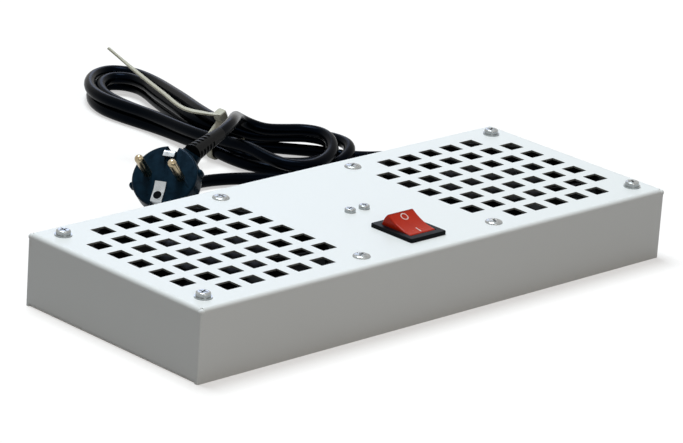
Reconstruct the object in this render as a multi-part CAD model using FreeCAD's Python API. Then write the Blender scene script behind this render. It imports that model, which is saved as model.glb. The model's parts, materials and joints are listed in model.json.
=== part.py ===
"""Fan tray for a cabinet roof: a folded steel tray that carries two axial fans, a rocker switch and
a tied mains lead.

Millimetres. X runs along the tray, Y from its front to its back and Z up. The origin is the middle
of the rim that the tray stands on.
"""
import FreeCAD
import Part
import math
import os

from FreeCAD import Vector

# ---- folded tray
TRAY_LENGTH = 328.0
TRAY_HEIGHT = 38.5
SHEET = 1.0
BEND_RADIUS = 2.2          # outside of every fold
CORNER_RADIUS = 1.0        # upright corners, welded and dressed
CORNER_NOTCH = 0.4         # how far the relief at each top corner runs below the folds
LIP_WIDTH = 12.0           # fixing tab along each short end
LIP_LENGTH = 84.0
LIP_HOLE_SPACING = 50.0
LIP_HOLE_INSET = 7.0       # from the tray's end to a hole's centre
LIP_HOLE_RADIUS = 2.25
VENT_PITCH = 15.6
VENT_SIDE = 9.6
VENT_COUNT = 7             # holes along each side of a vent field, without its corners
SCREW_HOLE_RADIUS = 2.25

# ---- fans
FAN_DEPTH = 25.0
FAN_RIM = 2.0              # the narrowest part of a frame, between its duct and its side
FAN_HOLE_INSET = 7.5       # from a frame's side to its screws
FAN_SIDE_ROOM = 4.0        # between a frame and the long walls
FAN_END_ROOM = 3.5         # between a frame and the end walls
FAN_CORNER_RADIUS = 5.0
FLANGE = 4.0               # thickness of a frame's top and bottom flanges
DUCT_RADIUS = 58.0
DUCT_WALL = 1.6
DUCT_FLARE = 2.0
HUB_RADIUS = 31.0
HUB_WALL = 2.0
HUB_HEIGHT = 18.5
HUB_EDGE = 1.5
TIP_GAP = 1.0              # from a blade's tip to the duct
BLADE_COUNT = 7
BLADE_DEPTH = 15.5
BLADE_THICKNESS = 1.8
BLADE_CAMBER = 2.6
BLADE_ROOT_CHORD = 25.0
BLADE_TIP_CHORD = 41.0
BLADE_ROOT_PITCH = 48.0    # degrees from the plane of rotation
BLADE_TIP_PITCH = 23.0
BLADE_SWEEP = 12.0         # degrees that the tip leads the root
ARM_COUNT = 4
ARM_WIDTH = 6.0
ARM_THICKNESS = 3.0
MOTOR_PLATE = 2.5
ROTOR_CLEARANCE = 1.0      # from the turning parts to the motor plate and arms
POST_RADIUS = 7.5
POST_HEIGHT = 19.0
BEARING_OUTER = 5.5
BEARING_DEPTH = 4.0
BEARING_FLOOR = 1.5        # from the frame's back face to the lower bearing
BEARING_SPAN = 17.2        # from the lower bearing's back to the upper one's front
SHAFT_RADIUS = 2.0
RUNNING_FIT = 0.03         # radial, shaft in bearing
END_GAP = 0.4              # from the turning parts to the post, along the shaft
CORE_RADIUS = 25.5
CORE_DEPTH = 9.0
CORE_LIFT = 7.0            # from the frame's back face to the stator core
CORE_SLOTS = 4
COIL_OVERHANG = 2.4        # how far the windings stand above and below the core
SLOT_WIDTH = 9.0
AIR_GAP = 0.5
FLUX_RING_DEPTH = 10.0
SEAT = 0.05                # slip fit of parts seated on one another

# ---- screws and nuts
SCREW_RADIUS = 2.0
SCREW_LENGTH = 35.0
HEAD_SHOULDER = 0.45        # share of a head's height that stands straight
HEAD_CROWN = 0.6           # share of its radius left at its top
PAN_HEAD_RADIUS = 4.0
PAN_HEAD_HEIGHT = 2.5
LOW_HEAD_RADIUS = 4.7
LOW_HEAD_HEIGHT = 1.5
WASHER_RADIUS = 4.5
WASHER = 0.8
NUT_RADIUS = 4.04          # across corners, half
NUT = 3.2

# ---- terminal block under the middle of the plate
BLOCK_X = 0.0
BLOCK_Y = 0.0
BLOCK_POLES = 3
POLE_PITCH = 10.0
BLOCK_DEPTH = 17.0
BLOCK_HEIGHT = 14.0
BLOCK_NOTCH = 2.0
BLOCK_SCREW_RADIUS = 1.5
BLOCK_SCREW_LENGTH = 20.0
BLOCK_HEAD_RADIUS = 2.9
BLOCK_HEAD_HEIGHT = 2.3
BLOCK_NUT_RADIUS = 3.18
BLOCK_NUT = 2.4
SLEEVE_SIDE = 5.0
SLEEVE_BORE = 1.8
SLEEVE_DROP = 4.0          # from the block's lower face to a sleeve's axis
CLAMP_SPACING = 9.0
CLAMP_RADIUS = 1.4
RING_RADIUS = 3.2
RING = 0.8

# ---- rocker switch
SWITCH_X = 0.3
SWITCH_INSET = 27.6        # from the tray's front to the middle of the switch
BEZEL_X = 25.0
BEZEL_Y = 30.0
BEZEL = 2.1
BEZEL_CORNER = 1.2
BEZEL_EDGE = 0.5
WINDOW_X = 18.4
WINDOW_Y = 21.8
HOUSING_X = 21.6
HOUSING_Y = 28.0
HOUSING_DEPTH = 21.0
HOUSING_FIT = 0.2          # between the housing and the plate's cut-out
HOUSING_WALL = 1.6
ROCKER_X = 17.8
ROCKER_REACH = 10.6        # from the pivot to the rocker's end faces
ROCKER_EDGE_RISE = 5.6     # from the pivot up to its top edges
ROCKER_DISH = 1.2
ROCKER_TILT = 20.0         # degrees, switched on
ROCKER_SKIRT = 4.5         # from the pivot down to its underside
PIVOT_DROP = 2.0           # from the bezel's top face down to the pivot
PIVOT_RADIUS = 1.5
PIVOT_LENGTH = 1.2
PIVOT_FIT = 0.05
TAB_WIDTH = 6.3
TAB = 0.8
TAB_LENGTH = 8.0
TAB_SPACING_X = 9.0
TAB_SPACING_Y = 14.0

# ---- leads inside the tray
TWIN_WIDTH = 3.6
TWIN = 1.8
LEAD_GAP = 0.3             # between a lead and what it lies on
LEAD_EXIT = 6.0            # straight run of a lead at a terminal, a sheath or a tab
LEAD_SWING = 12.0          # sideways step of a fan's lead on its way to the switch
LEAD_TURN = 8.0            # from the frame's edge back to where a fan's lead leaves its arm
LEAD_RISE = 2.5            # how far a lead comes down to a tab
EARTH_SLACK = 1.0          # how far the earth core stands out of a straight line
SOLDER = 0.05              # film between a tab's end and its lead
SHEATH_END = 26.0          # from the block's back to the end of the lead's outer sheath

# ---- cord, its bush and the hank
CORD = 6.8
BUSH_X = 12.0
BUSH_Z = 12.0
BUSH_HOLE = 6.0
BUSH_FLANGE_RADIUS = 8.0
BUSH_FLANGE = 2.5
BUSH_TAIL = 24.0
BUSH_TAIL_RADIUS = 4.4
BUSH_CATCH = 3.0           # length of the bush inside the wall
TIE_CENTRE = Vector(78.2, 187.3, 0.0)
TIE_HEADING = Vector(0.0, 1.0, 0.0)
HANK_FLOOR = 0.2
HANK_TIE_RADIUS = 13.5
HANK_TIE_TOP = 23.0
HANK_EDGE = 3.0
FAR_LOBE = (                # centre and radius of each round, and the top of the stretch that leads to it
    (Vector(84.5, 246.1, 0.0), 16.5, 20.0),
    (Vector(94.3, 297.3, 0.0), 28.0, 14.0),
)
NEAR_LOBE = (
    (Vector(89.8, 155.8, 0.0), 22.0, 18.0),
    (Vector(112.3, 152.7, 0.0), 24.5, 18.0),
)
TIE_WIDTH = 4.6
TIE = 1.2
TIE_SLACK = 0.3
TIE_HEAD = Vector(6.0, 7.5, 5.5)
LEAD_POINTS = (
    (12.0, 99.0, 11.5),
    (12.0, 110.5, 8.3),
    (12.0, 128.1, 4.6),
    (21.6, 141.6, 3.6),
    (37.2, 149.3, 3.6),
    (54.7, 147.8, 3.6),
    (78.4, 131.6, 3.6),
    (104.9, 111.9, 3.6),
    (130.5, 90.8, 3.6),
    (151.4, 78.2, 3.6),
    (169.4, 77.2, 3.6),
    (184.4, 84.9, 3.6),
    (191.3, 99.5, 3.6),
    (187.2, 115.3, 3.6),
    (173.2, 124.7, 3.6),
    (156.3, 127.3, 3.6),
    (140.3, 135.3, 3.6),
    (129.8, 145.2, 3.6),
)
TAIL_POINTS = (
    (88.1, 178.9, 20.0),
    (80.1, 179.4, 25.0),
    (70.1, 170.6, 30.0),
    (58.1, 158.5, 34.8),
    (45.6, 146.3, 38.8),
    (34.7, 137.3, 40.0),
)
TIE_TAIL_POINTS = (
    (63.1, 187.4, 28.5),
    (49.0, 191.4, 33.0),
    (42.9, 202.2, 40.0),
    (35.8, 215.9, 49.0),
    (28.6, 233.6, 60.0),
)

# ---- moulded mains plug
PLUG_CENTRE = Vector(-22.7, 124.2, 25.6)   # middle of its face
PLUG_FACING = Vector(-0.661, -0.292, 0.691)
PLUG_SPREAD = Vector(0.441, -0.897, 0.044)
PLUG_RADIUS = 18.3
PLUG_RIM = 9.0
PLUG_BACK_RADIUS = 12.5
PLUG_DEPTH = 22.0
PLUG_EDGE = 1.0
PIN_RADIUS = 2.4
PIN_ROOT_RADIUS = 2.0      # the part of a pin that is moulded in
PIN_LENGTH = 19.0
PIN_SPACING = 19.0
EARTH_RADIUS = 13.8        # from the plug's axis to its earth contacts
EARTH_SLOT = 6.6
EARTH_SLOT_DEPTH = 8.0
EARTH_WIDTH = 6.0
EARTH = 0.8
EARTH_HOLE_OFFSET = 10.0
EARTH_HOLE_RADIUS = 2.5
RELIEF_ROOT = Vector(-2.3, 125.4, 34.0)
RELIEF_END = Vector(24.2, 132.9, 38.6)
RELIEF_ROOT_RADIUS = 6.0
RELIEF_END_RADIUS = 4.4
NECK_RADIUS = 8.0
NECK_DEPTH = 13.2          # from the plug's face back to where the neck starts

# ---- places and levels worked out from the sizes above
FAN_SIDE = 2 * (DUCT_RADIUS + FAN_RIM)
FAN_HOLE_SPACING = FAN_SIDE - 2 * FAN_HOLE_INSET
FAN_OFFSET = TRAY_LENGTH / 2 - SHEET - FAN_END_ROOM - FAN_SIDE / 2
TRAY_WIDTH = FAN_SIDE + 2 * (FAN_SIDE_ROOM + SHEET)
PLATE_UNDERSIDE = TRAY_HEIGHT - SHEET
FAN_BACK = PLATE_UNDERSIDE - FAN_DEPTH
BEZEL_TOP = TRAY_HEIGHT + BEZEL
PIVOT_Z = BEZEL_TOP - PIVOT_DROP
BLOCK_BACK = PLATE_UNDERSIDE - BLOCK_HEIGHT
SLEEVE_Z = BLOCK_BACK + SLEEVE_DROP
TAB_END = PLATE_UNDERSIDE - HOUSING_DEPTH - TAB_LENGTH
UNDER_TAB = TAB_END - SOLDER - TWIN / 2
WALL_Y = TRAY_WIDTH / 2
SWITCH_Y = SWITCH_INSET - WALL_Y
BUSH_END = WALL_Y + BUSH_FLANGE + BUSH_TAIL
FANS = {"left": -FAN_OFFSET, "right": FAN_OFFSET}


# ---- shared shapes
def box(x, y, z):
    """A box from three (low, high) pairs."""
    return Part.makeBox(x[1] - x[0], y[1] - y[0], z[1] - z[0], Vector(x[0], y[0], z[0]))


def cylinder(radius, z0, z1, x=0.0, y=0.0):
    return Part.makeCylinder(radius, z1 - z0, Vector(x, y, z0))


def bar_y(radius, y0, y1, x, z):
    """A cylinder along Y."""
    return Part.makeCylinder(radius, y1 - y0, Vector(x, y0, z), Vector(0, 1, 0))


def ring(outer, inner, z0, z1, x=0.0, y=0.0):
    return cylinder(outer, z0, z1, x, y).cut(cylinder(inner, z0, z1, x, y))


def moved(shape, x=0.0, y=0.0, z=0.0):
    copy = shape.copy()
    copy.translate(Vector(x, y, z))
    return copy


def rounded_face(place, low, high, radii):
    """A rectangle between two corners, with a radius for each corner, counter-clockwise from the low one.

    place turns a pair of coordinates into a point.
    """
    corners = ((low[0], low[1]), (high[0], low[1]), (high[0], high[1]), (low[0], high[1]))
    leaving = ((1, 0), (0, 1), (-1, 0), (0, -1))
    edges = []
    starts = []
    ends = []
    for index, ((a, b), r) in enumerate(zip(corners, radii)):
        along = leaving[index]
        back = leaving[index - 1]
        enter = (a - back[0] * r, b - back[1] * r)
        leave = (a + along[0] * r, b + along[1] * r)
        starts.append(enter)
        ends.append(leave)
        if r > 0:
            inset = r * (1 - math.sqrt(0.5))
            middle = (a + (along[0] - back[0]) * inset, b + (along[1] - back[1]) * inset)
            edges.append((index, Part.Arc(place(*enter), place(*middle), place(*leave)).toShape()))
    sides = []
    for index in range(4):
        sides.extend(edge for corner, edge in edges if corner == index)
        sides.append(Part.makeLine(place(*ends[index]), place(*starts[(index + 1) % 4])))
    return Part.Face(Part.Wire(sides))


def slab(half_x, half_y, z0, z1, radius, x=0.0, y=0.0):
    """A flat block about an upright axis, with rounded upright corners."""
    face = rounded_face(lambda a, b: Vector(x + a, y + b, z0), (-half_x, -half_y), (half_x, half_y),
                        (radius,) * 4)
    return face.extrude(Vector(0, 0, z1 - z0))


def edges_at(shape, z):
    """The edges of a shape that lie in the level z."""
    return [e for e in shape.Edges if abs(e.BoundBox.ZMin - z) < 1e-6 and abs(e.BoundBox.ZMax - z) < 1e-6]


def fan_screw_places(side):
    """The four fixing points of a fan, as (x, y, outward), where outward marks the end of the tray."""
    half = FAN_HOLE_SPACING / 2
    return [(FANS[side] + sx * half, sy * half, sx * FANS[side] > 0) for sx in (-1, 1) for sy in (-1, 1)]


def all_screw_places(outward):
    return [(x, y) for side in FANS for x, y, out in fan_screw_places(side) if out == outward]


def block_screw_places():
    return [(BLOCK_X + s * POLE_PITCH / 2, BLOCK_Y) for s in (-1, 1)]


def path_along(points):
    """Straight runs joined by tangent arcs. Each arc takes 0.45 of the shorter run beside it."""
    points = [Vector(*p) for p in points]
    edges = []
    radii = []
    last = points[0]
    for before, here, after in zip(points, points[1:], points[2:]):
        come = (here - before).normalize()
        leave = (after - here).normalize()
        reach = 0.45 * min(before.distanceToPoint(here), here.distanceToPoint(after))
        half_turn = come.getAngle(leave) / 2
        radius = reach / math.tan(half_turn)
        inward = (leave - come).normalize()
        middle = here + inward * (radius / math.cos(half_turn) - radius)
        start = here - come * reach
        end = here + leave * reach
        edges.append(Part.LineSegment(last, start).toShape())
        edges.append(Part.Arc(start, middle, end).toShape())
        radii.append(radius)
        last = end
    edges.append(Part.LineSegment(last, points[-1]).toShape())
    return Part.Wire(edges), radii


def tube(name, points, radius):
    """A round bar along a path, with its bend radii and its volume printed for checking."""
    path, radii = path_along(points)
    first = (Vector(*points[1]) - Vector(*points[0])).normalize()
    section = Part.Wire(Part.Circle(Vector(*points[0]), first, radius).toShape())
    solid = path.makePipeShell([section], True, False)
    print(name, "length", round(path.Length, 1), "radii", [round(r, 1) for r in radii],
          "volume over section times length", round(solid.Volume / (math.pi * radius ** 2 * path.Length), 4))
    return solid


def ribbon(points, width, thickness, flat):
    """A flat lead along a path. flat is the direction of its width at the start."""
    path = path_along(points)[0]
    start = Vector(*points[0])
    across = Vector(*flat).normalize() * (width / 2)
    along = (Vector(*points[1]) - start).normalize()
    up = along.cross(across).normalize() * (thickness / 2)
    corners = [start - across - up, start + across - up, start + across + up, start - across + up]
    section = Part.makePolygon(corners + corners[:1])
    return path.makePipeShell([section], True, False)


# ---- tray
def channel(length, span, bottom_radius):
    """A folded channel along X: a plate with two walls, and lips where the bottom is round."""
    half = span / 2
    low, inner_bottom = (SHEET, bottom_radius - SHEET) if bottom_radius else (-SHEET, 0.0)
    outer = rounded_face(lambda a, b: Vector(-length / 2, a, b), (-half, 0.0), (half, TRAY_HEIGHT),
                         (bottom_radius, bottom_radius, BEND_RADIUS, BEND_RADIUS))
    inner = rounded_face(lambda a, b: Vector(-length / 2, a, b), (SHEET - half, low),
                         (half - SHEET, PLATE_UNDERSIDE),
                         (inner_bottom, inner_bottom, BEND_RADIUS - SHEET, BEND_RADIUS - SHEET))
    return outer.cut(inner).extrude(Vector(length, 0, 0))


def corner_posts():
    """The four upright corners, welded below the relief that the folds need at the top."""
    top = TRAY_HEIGHT - BEND_RADIUS - CORNER_NOTCH
    half_x = TRAY_LENGTH / 2
    half_y = TRAY_WIDTH / 2
    wall = slab(half_x, half_y, 0.0, top, CORNER_RADIUS)
    wall = wall.cut(box((SHEET - half_x, half_x - SHEET), (SHEET - half_y, half_y - SHEET), (0.0, top)))
    fold_y = half_y - BEND_RADIUS
    for side in (-1, 1):
        end = sorted((side * half_x, side * (half_x - BEND_RADIUS)))
        wall = wall.cut(box(end, (-fold_y, fold_y), (0.0, BEND_RADIUS)))
    return wall


def short_channel():
    """The folded sheet across the tray, open below, with a fixing tab left along each end."""
    length = TRAY_WIDTH - 2 * BEND_RADIUS
    sheet = channel(length, TRAY_LENGTH, BEND_RADIUS)
    sheet.rotate(Vector(), Vector(0, 0, 1), 90)
    tab_edge = TRAY_LENGTH / 2 - LIP_WIDTH
    fold_edge = TRAY_LENGTH / 2 - BEND_RADIUS
    whole = (-length, length)
    sheet = sheet.cut(box((-tab_edge, tab_edge), whole, (0.0, SHEET)))
    for side in (-1, 1):
        for end in (-1, 1):
            across = sorted((side * LIP_LENGTH / 2, side * length))
            along = sorted((end * tab_edge, end * fold_edge))
            sheet = sheet.cut(box(along, across, (0.0, SHEET)))
    return sheet


def vents():
    """Square holes over each fan, in a field without its four corners."""
    reach = (VENT_COUNT - 1) / 2
    half = VENT_SIDE / 2
    holes = []
    for centre in FANS.values():
        for i in range(VENT_COUNT):
            for j in range(VENT_COUNT):
                a = i - reach
                b = j - reach
                if abs(a) == reach and abs(b) == reach:
                    continue
                x = centre + a * VENT_PITCH
                y = b * VENT_PITCH
                holes.append(box((x - half, x + half), (y - half, y + half), (PLATE_UNDERSIDE, TRAY_HEIGHT)))
    return holes


def lip_hole_places():
    x = TRAY_LENGTH / 2 - LIP_HOLE_INSET
    return [(sx * x, sy * LIP_HOLE_SPACING / 2) for sx in (-1, 1) for sy in (-1, 1)]


def tray_shell():
    shell = corner_posts()
    shell = shell.fuse([channel(TRAY_LENGTH - 2 * BEND_RADIUS, TRAY_WIDTH, 0.0), short_channel()])
    shell = shell.removeSplitter()
    plate = (PLATE_UNDERSIDE, TRAY_HEIGHT)
    cuts = vents()
    for outward in (False, True):
        cuts += [cylinder(SCREW_HOLE_RADIUS, *plate, x, y) for x, y in all_screw_places(outward)]
    cuts += [cylinder(BLOCK_SCREW_RADIUS + HOUSING_FIT, *plate, x, y) for x, y in block_screw_places()]
    cuts += [cylinder(LIP_HOLE_RADIUS, 0.0, SHEET, x, y) for x, y in lip_hole_places()]
    cuts.append(slab(HOUSING_X / 2 + HOUSING_FIT, HOUSING_Y / 2 + HOUSING_FIT, *plate, BEZEL_EDGE,
                     SWITCH_X, SWITCH_Y))
    cuts.append(bar_y(BUSH_HOLE, WALL_Y - SHEET, WALL_Y, BUSH_X, BUSH_Z))
    return shell.cut(cuts)


# ---- fan, about its own axis with its back face at zero
def fan_frame():
    """A cast frame: two square flanges on a round duct, with arms that carry the motor's post."""
    half = FAN_SIDE / 2
    frame = slab(half, half, 0.0, FLANGE, FAN_CORNER_RADIUS)
    duct = cylinder(DUCT_RADIUS + DUCT_WALL, FLANGE, FAN_DEPTH - FLANGE)
    front = slab(half, half, FAN_DEPTH - FLANGE, FAN_DEPTH, FAN_CORNER_RADIUS)
    frame = frame.fuse([duct, front])
    bore = cylinder(DUCT_RADIUS, 0.0, FAN_DEPTH)
    flare_depth = DUCT_FLARE * 2
    flare_radius = DUCT_RADIUS + DUCT_FLARE / 2
    inlet = Part.makeCone(DUCT_RADIUS, flare_radius, flare_depth, Vector(0, 0, FAN_DEPTH - flare_depth))
    outlet = Part.makeCone(flare_radius, DUCT_RADIUS, flare_depth)
    frame = frame.cut([bore, inlet, outlet])
    place = FAN_HOLE_SPACING / 2
    frame = frame.cut([cylinder(SCREW_HOLE_RADIUS, 0.0, FAN_DEPTH, sx * place, sy * place)
                       for sx in (-1, 1) for sy in (-1, 1)])
    return frame.fuse(motor_mount())


def motor_mount():
    """The plate behind the motor, its arms out to the duct, and the post that holds the bearings."""
    reach = DUCT_RADIUS + DUCT_WALL / 2
    parts = [cylinder(HUB_RADIUS, 0.0, MOTOR_PLATE)]
    for index in range(ARM_COUNT):
        arm = box((HUB_RADIUS - ARM_WIDTH, reach), (-ARM_WIDTH / 2, ARM_WIDTH / 2), (0.0, ARM_THICKNESS))
        arm.rotate(Vector(), Vector(0, 0, 1), 360.0 / ARM_COUNT * index)
        parts.append(arm)
    mount = parts[0].fuse(parts[1:] + [cylinder(POST_RADIUS, MOTOR_PLATE, POST_HEIGHT)])
    mount = mount.cut(cylinder(BEARING_OUTER, BEARING_FLOOR, POST_HEIGHT))
    return mount


def bearings():
    inner = SHAFT_RADIUS + RUNNING_FIT
    outer = BEARING_OUTER - SEAT
    upper = BEARING_FLOOR + BEARING_SPAN - BEARING_DEPTH
    return [ring(outer, inner, z, z + BEARING_DEPTH) for z in (BEARING_FLOOR, upper)]


def stator_core():
    """A laminated core with open slots between its poles."""
    top = CORE_LIFT + CORE_DEPTH
    core = ring(CORE_RADIUS, POST_RADIUS + SEAT, CORE_LIFT, top)
    half = SLOT_WIDTH / 2
    inner = POST_RADIUS + SLOT_WIDTH / 2
    outer = CORE_RADIUS - SLOT_WIDTH / 2
    for index in range(CORE_SLOTS):
        slot = box((inner, outer), (-half, half), (CORE_LIFT, top))
        mouth = box((outer, CORE_RADIUS), (-half / 4, half / 4), (CORE_LIFT, top))
        slot = slot.fuse(mouth)
        slot.rotate(Vector(), Vector(0, 0, 1), 360.0 / CORE_SLOTS * (index + 0.5))
        core = core.cut(slot)
    return core


def stator_coil():
    """The windings: one bobbin ring above the core and one below it, seated on its faces."""
    inner = POST_RADIUS + SLOT_WIDTH / 2
    outer = CORE_RADIUS - SLOT_WIDTH / 2
    top = CORE_LIFT + CORE_DEPTH
    return [ring(outer, inner, z, z + COIL_OVERHANG) for z in (CORE_LIFT - COIL_OVERHANG, top)]


def hub_levels():
    bottom = ARM_THICKNESS + ROTOR_CLEARANCE
    return bottom, bottom + HUB_HEIGHT


def blade_section(radius, chord, pitch, lead):
    """A thin cambered aerofoil, flat across the radius, turned by its pitch and led round the axis."""
    half = chord / 2
    bow = BLADE_CAMBER
    nose = Vector(radius, -half, 0)
    tail = Vector(radius, half, 0)
    upper = Part.Arc(nose, Vector(radius, 0, bow + BLADE_THICKNESS / 2), tail).toShape()
    lower = Part.Arc(tail, Vector(radius, 0, bow - BLADE_THICKNESS / 2), nose).toShape()
    wire = Part.Wire([upper, lower])
    wire.rotate(Vector(radius, 0, 0), Vector(1, 0, 0), pitch)
    wire.rotate(Vector(), Vector(0, 0, 1), lead)
    return wire


def blade():
    """A twisted blade lofted from root to tip, then trimmed to the swept ring and to its depth."""
    bottom, top = hub_levels()
    tip = DUCT_RADIUS - TIP_GAP
    root = blade_section(HUB_RADIUS - HUB_WALL, BLADE_ROOT_CHORD, BLADE_ROOT_PITCH, 0.0)
    end = blade_section(tip + HUB_WALL, BLADE_TIP_CHORD, BLADE_TIP_PITCH, BLADE_SWEEP)
    body = Part.makeLoft([root, end], True, True)
    middle = (bottom + top) / 2
    body.translate(Vector(0, 0, middle))
    swept = ring(tip, HUB_RADIUS - HUB_WALL / 2, middle - BLADE_DEPTH / 2, middle + BLADE_DEPTH / 2)
    return body.common(swept)


def impeller():
    """A cup-shaped hub with its blades and the boss that grips the shaft."""
    bottom, top = hub_levels()
    hub = cylinder(HUB_RADIUS, bottom, top)
    hub = hub.makeChamfer(HUB_EDGE, edges_at(hub, top))
    hub = hub.cut(cylinder(HUB_RADIUS - HUB_WALL, bottom, top - HUB_WALL))
    boss_bottom = POST_HEIGHT + END_GAP
    boss = cylinder(SHAFT_RADIUS * 2, boss_bottom, top - HUB_WALL)
    single = blade()
    blades = []
    for index in range(BLADE_COUNT):
        turned = single.copy()
        turned.rotate(Vector(), Vector(0, 0, 1), 360.0 / BLADE_COUNT * index)
        blades.append(turned)
    body = hub.fuse([boss] + blades)
    return body.cut(cylinder(SHAFT_RADIUS, bottom, top - HUB_WALL / 2))


def fan_shaft():
    return cylinder(SHAFT_RADIUS, BEARING_FLOOR + END_GAP, hub_levels()[1] - HUB_WALL / 2)


def flux_ring():
    """The steel ring inside the hub that the stator pulls round."""
    outer = HUB_RADIUS - HUB_WALL - SEAT
    upper = hub_levels()[1] - HUB_WALL
    return ring(outer, CORE_RADIUS + AIR_GAP, upper - FLUX_RING_DEPTH, upper)


# ---- fasteners
def screw(radius, length, head_radius, head_height, underside):
    """A screw that hangs from its head; the head narrows towards its top."""
    shoulder = underside + head_height * HEAD_SHOULDER
    top = underside + head_height
    shank = cylinder(radius, underside - length, underside)
    skirt = cylinder(head_radius, underside, shoulder)
    crown = Part.makeCone(head_radius, head_radius * HEAD_CROWN, top - shoulder, Vector(0, 0, shoulder))
    return shank.fuse([skirt, crown]).removeSplitter()


def nut(corner_radius, thickness, bore, top):
    base = top - thickness
    sixths = [math.radians(60 * i) for i in range(6)]
    corners = [Vector(corner_radius * math.cos(a), corner_radius * math.sin(a), base) for a in sixths]
    face = Part.Face(Part.makePolygon(corners + corners[:1]))
    return face.extrude(Vector(0, 0, thickness)).cut(cylinder(bore, base, top))


def fan_fasteners():
    """Pan screws on washers at the tray's ends, low screws between the fans, and a nut for each."""
    pan = screw(SCREW_RADIUS, SCREW_LENGTH, PAN_HEAD_RADIUS, PAN_HEAD_HEIGHT, TRAY_HEIGHT + WASHER)
    low = screw(SCREW_RADIUS, SCREW_LENGTH, LOW_HEAD_RADIUS, LOW_HEAD_HEIGHT, TRAY_HEIGHT)
    washer = ring(WASHER_RADIUS, SCREW_RADIUS, TRAY_HEIGHT, TRAY_HEIGHT + WASHER)
    fan_nut = nut(NUT_RADIUS, NUT, SCREW_RADIUS, FAN_BACK)
    outer = all_screw_places(True)
    inner = all_screw_places(False)
    return {
        "corner_screws": [moved(pan, x, y) for x, y in outer],
        "corner_washers": [moved(washer, x, y) for x, y in outer],
        "inner_screws": [moved(low, x, y) for x, y in inner],
        "fan_nuts": [moved(fan_nut, x, y) for x, y in outer + inner],
    }


# ---- terminal block
def pole_places():
    middle = (BLOCK_POLES - 1) / 2
    return [BLOCK_X + (index - middle) * POLE_PITCH for index in range(BLOCK_POLES)]


def clamp_places():
    return [(x, BLOCK_Y + s * CLAMP_SPACING / 2) for x in pole_places() for s in (-1, 1)]


def terminal_block():
    """A moulded strip with a tunnel for each pole, and notches at both ends of the walls between them."""
    half_y = BLOCK_DEPTH / 2
    poles = pole_places()
    along = (BLOCK_Y - half_y, BLOCK_Y + half_y)
    level = (BLOCK_BACK, PLATE_UNDERSIDE)
    block = box((poles[0] - POLE_PITCH / 2, poles[-1] + POLE_PITCH / 2), along, level)
    half_sleeve = SLEEVE_SIDE / 2 + SEAT
    cuts = [box((x - half_sleeve, x + half_sleeve), along, (SLEEVE_Z - half_sleeve, SLEEVE_Z + half_sleeve))
            for x in poles]
    for x, y in block_screw_places():
        for side in (-1, 1):
            notch = sorted((BLOCK_Y + side * (half_y - BLOCK_NOTCH), BLOCK_Y + side * half_y))
            cuts.append(box((x - BLOCK_NOTCH / 2, x + BLOCK_NOTCH / 2), notch, level))
        cuts.append(cylinder(BLOCK_SCREW_RADIUS + SEAT, *level, x, y))
    cuts += [cylinder(CLAMP_RADIUS + SEAT, BLOCK_BACK, SLEEVE_Z, x, y) for x, y in clamp_places()]
    return block.cut(cuts)


def terminal_sleeve(x):
    half = SLEEVE_SIDE / 2
    low = SLEEVE_Z - half
    front, back = BLOCK_Y - BLOCK_DEPTH / 2, BLOCK_Y + BLOCK_DEPTH / 2
    sleeve = box((x - half, x + half), (front + SEAT, back - SEAT), (low, SLEEVE_Z + half))
    holes = [cylinder(CLAMP_RADIUS, low, SLEEVE_Z, x, BLOCK_Y + s * CLAMP_SPACING / 2) for s in (-1, 1)]
    return sleeve.cut([bar_y(SLEEVE_BORE, front, back, x, SLEEVE_Z)] + holes)


def terminal_parts():
    clamp_top = SLEEVE_Z - SLEEVE_BORE * 0.7
    block_screw = screw(BLOCK_SCREW_RADIUS, BLOCK_SCREW_LENGTH, BLOCK_HEAD_RADIUS, BLOCK_HEAD_HEIGHT,
                        TRAY_HEIGHT)
    block_nut = nut(BLOCK_NUT_RADIUS, BLOCK_NUT, BLOCK_SCREW_RADIUS, BLOCK_BACK)
    (earth_x, earth_y), (plain_x, plain_y) = block_screw_places()
    earth_ring = ring(RING_RADIUS, BLOCK_SCREW_RADIUS, BLOCK_BACK - RING, BLOCK_BACK, earth_x, earth_y)
    return {
        "terminal_block": [terminal_block()],
        "terminal_sleeves": [terminal_sleeve(x) for x in pole_places()],
        "clamp_screws": [cylinder(CLAMP_RADIUS, BLOCK_BACK, clamp_top, x, y) for x, y in clamp_places()],
        "block_screws": [moved(block_screw, x, y) for x, y in block_screw_places()],
        "block_nuts": [moved(block_nut, earth_x, earth_y, -RING), moved(block_nut, plain_x, plain_y)],
        "earth_ring": [earth_ring],
        "earth_lead": [earth_lead()],
    }


# ---- rocker switch
def switch_housing():
    """A bezel on a box that is open at the top, with a pivot hole in each long side."""
    bezel = slab(BEZEL_X / 2, BEZEL_Y / 2, TRAY_HEIGHT, BEZEL_TOP, BEZEL_CORNER)
    bezel = bezel.makeFillet(BEZEL_EDGE, edges_at(bezel, BEZEL_TOP))
    bottom = PLATE_UNDERSIDE - HOUSING_DEPTH
    body = box((-HOUSING_X / 2, HOUSING_X / 2), (-HOUSING_Y / 2, HOUSING_Y / 2), (bottom, TRAY_HEIGHT))
    floor = PIVOT_Z - ROCKER_REACH - HOUSING_WALL
    window = box((-WINDOW_X / 2, WINDOW_X / 2), (-WINDOW_Y / 2, WINDOW_Y / 2), (floor, BEZEL_TOP))
    pivot = Part.makeCylinder(PIVOT_RADIUS + PIVOT_FIT, WINDOW_X + 2 * PIVOT_LENGTH,
                              Vector(-WINDOW_X / 2 - PIVOT_LENGTH, 0, PIVOT_Z), Vector(1, 0, 0))
    housing = bezel.fuse(body).cut([window, pivot])
    return moved(housing, SWITCH_X, SWITCH_Y)


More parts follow.
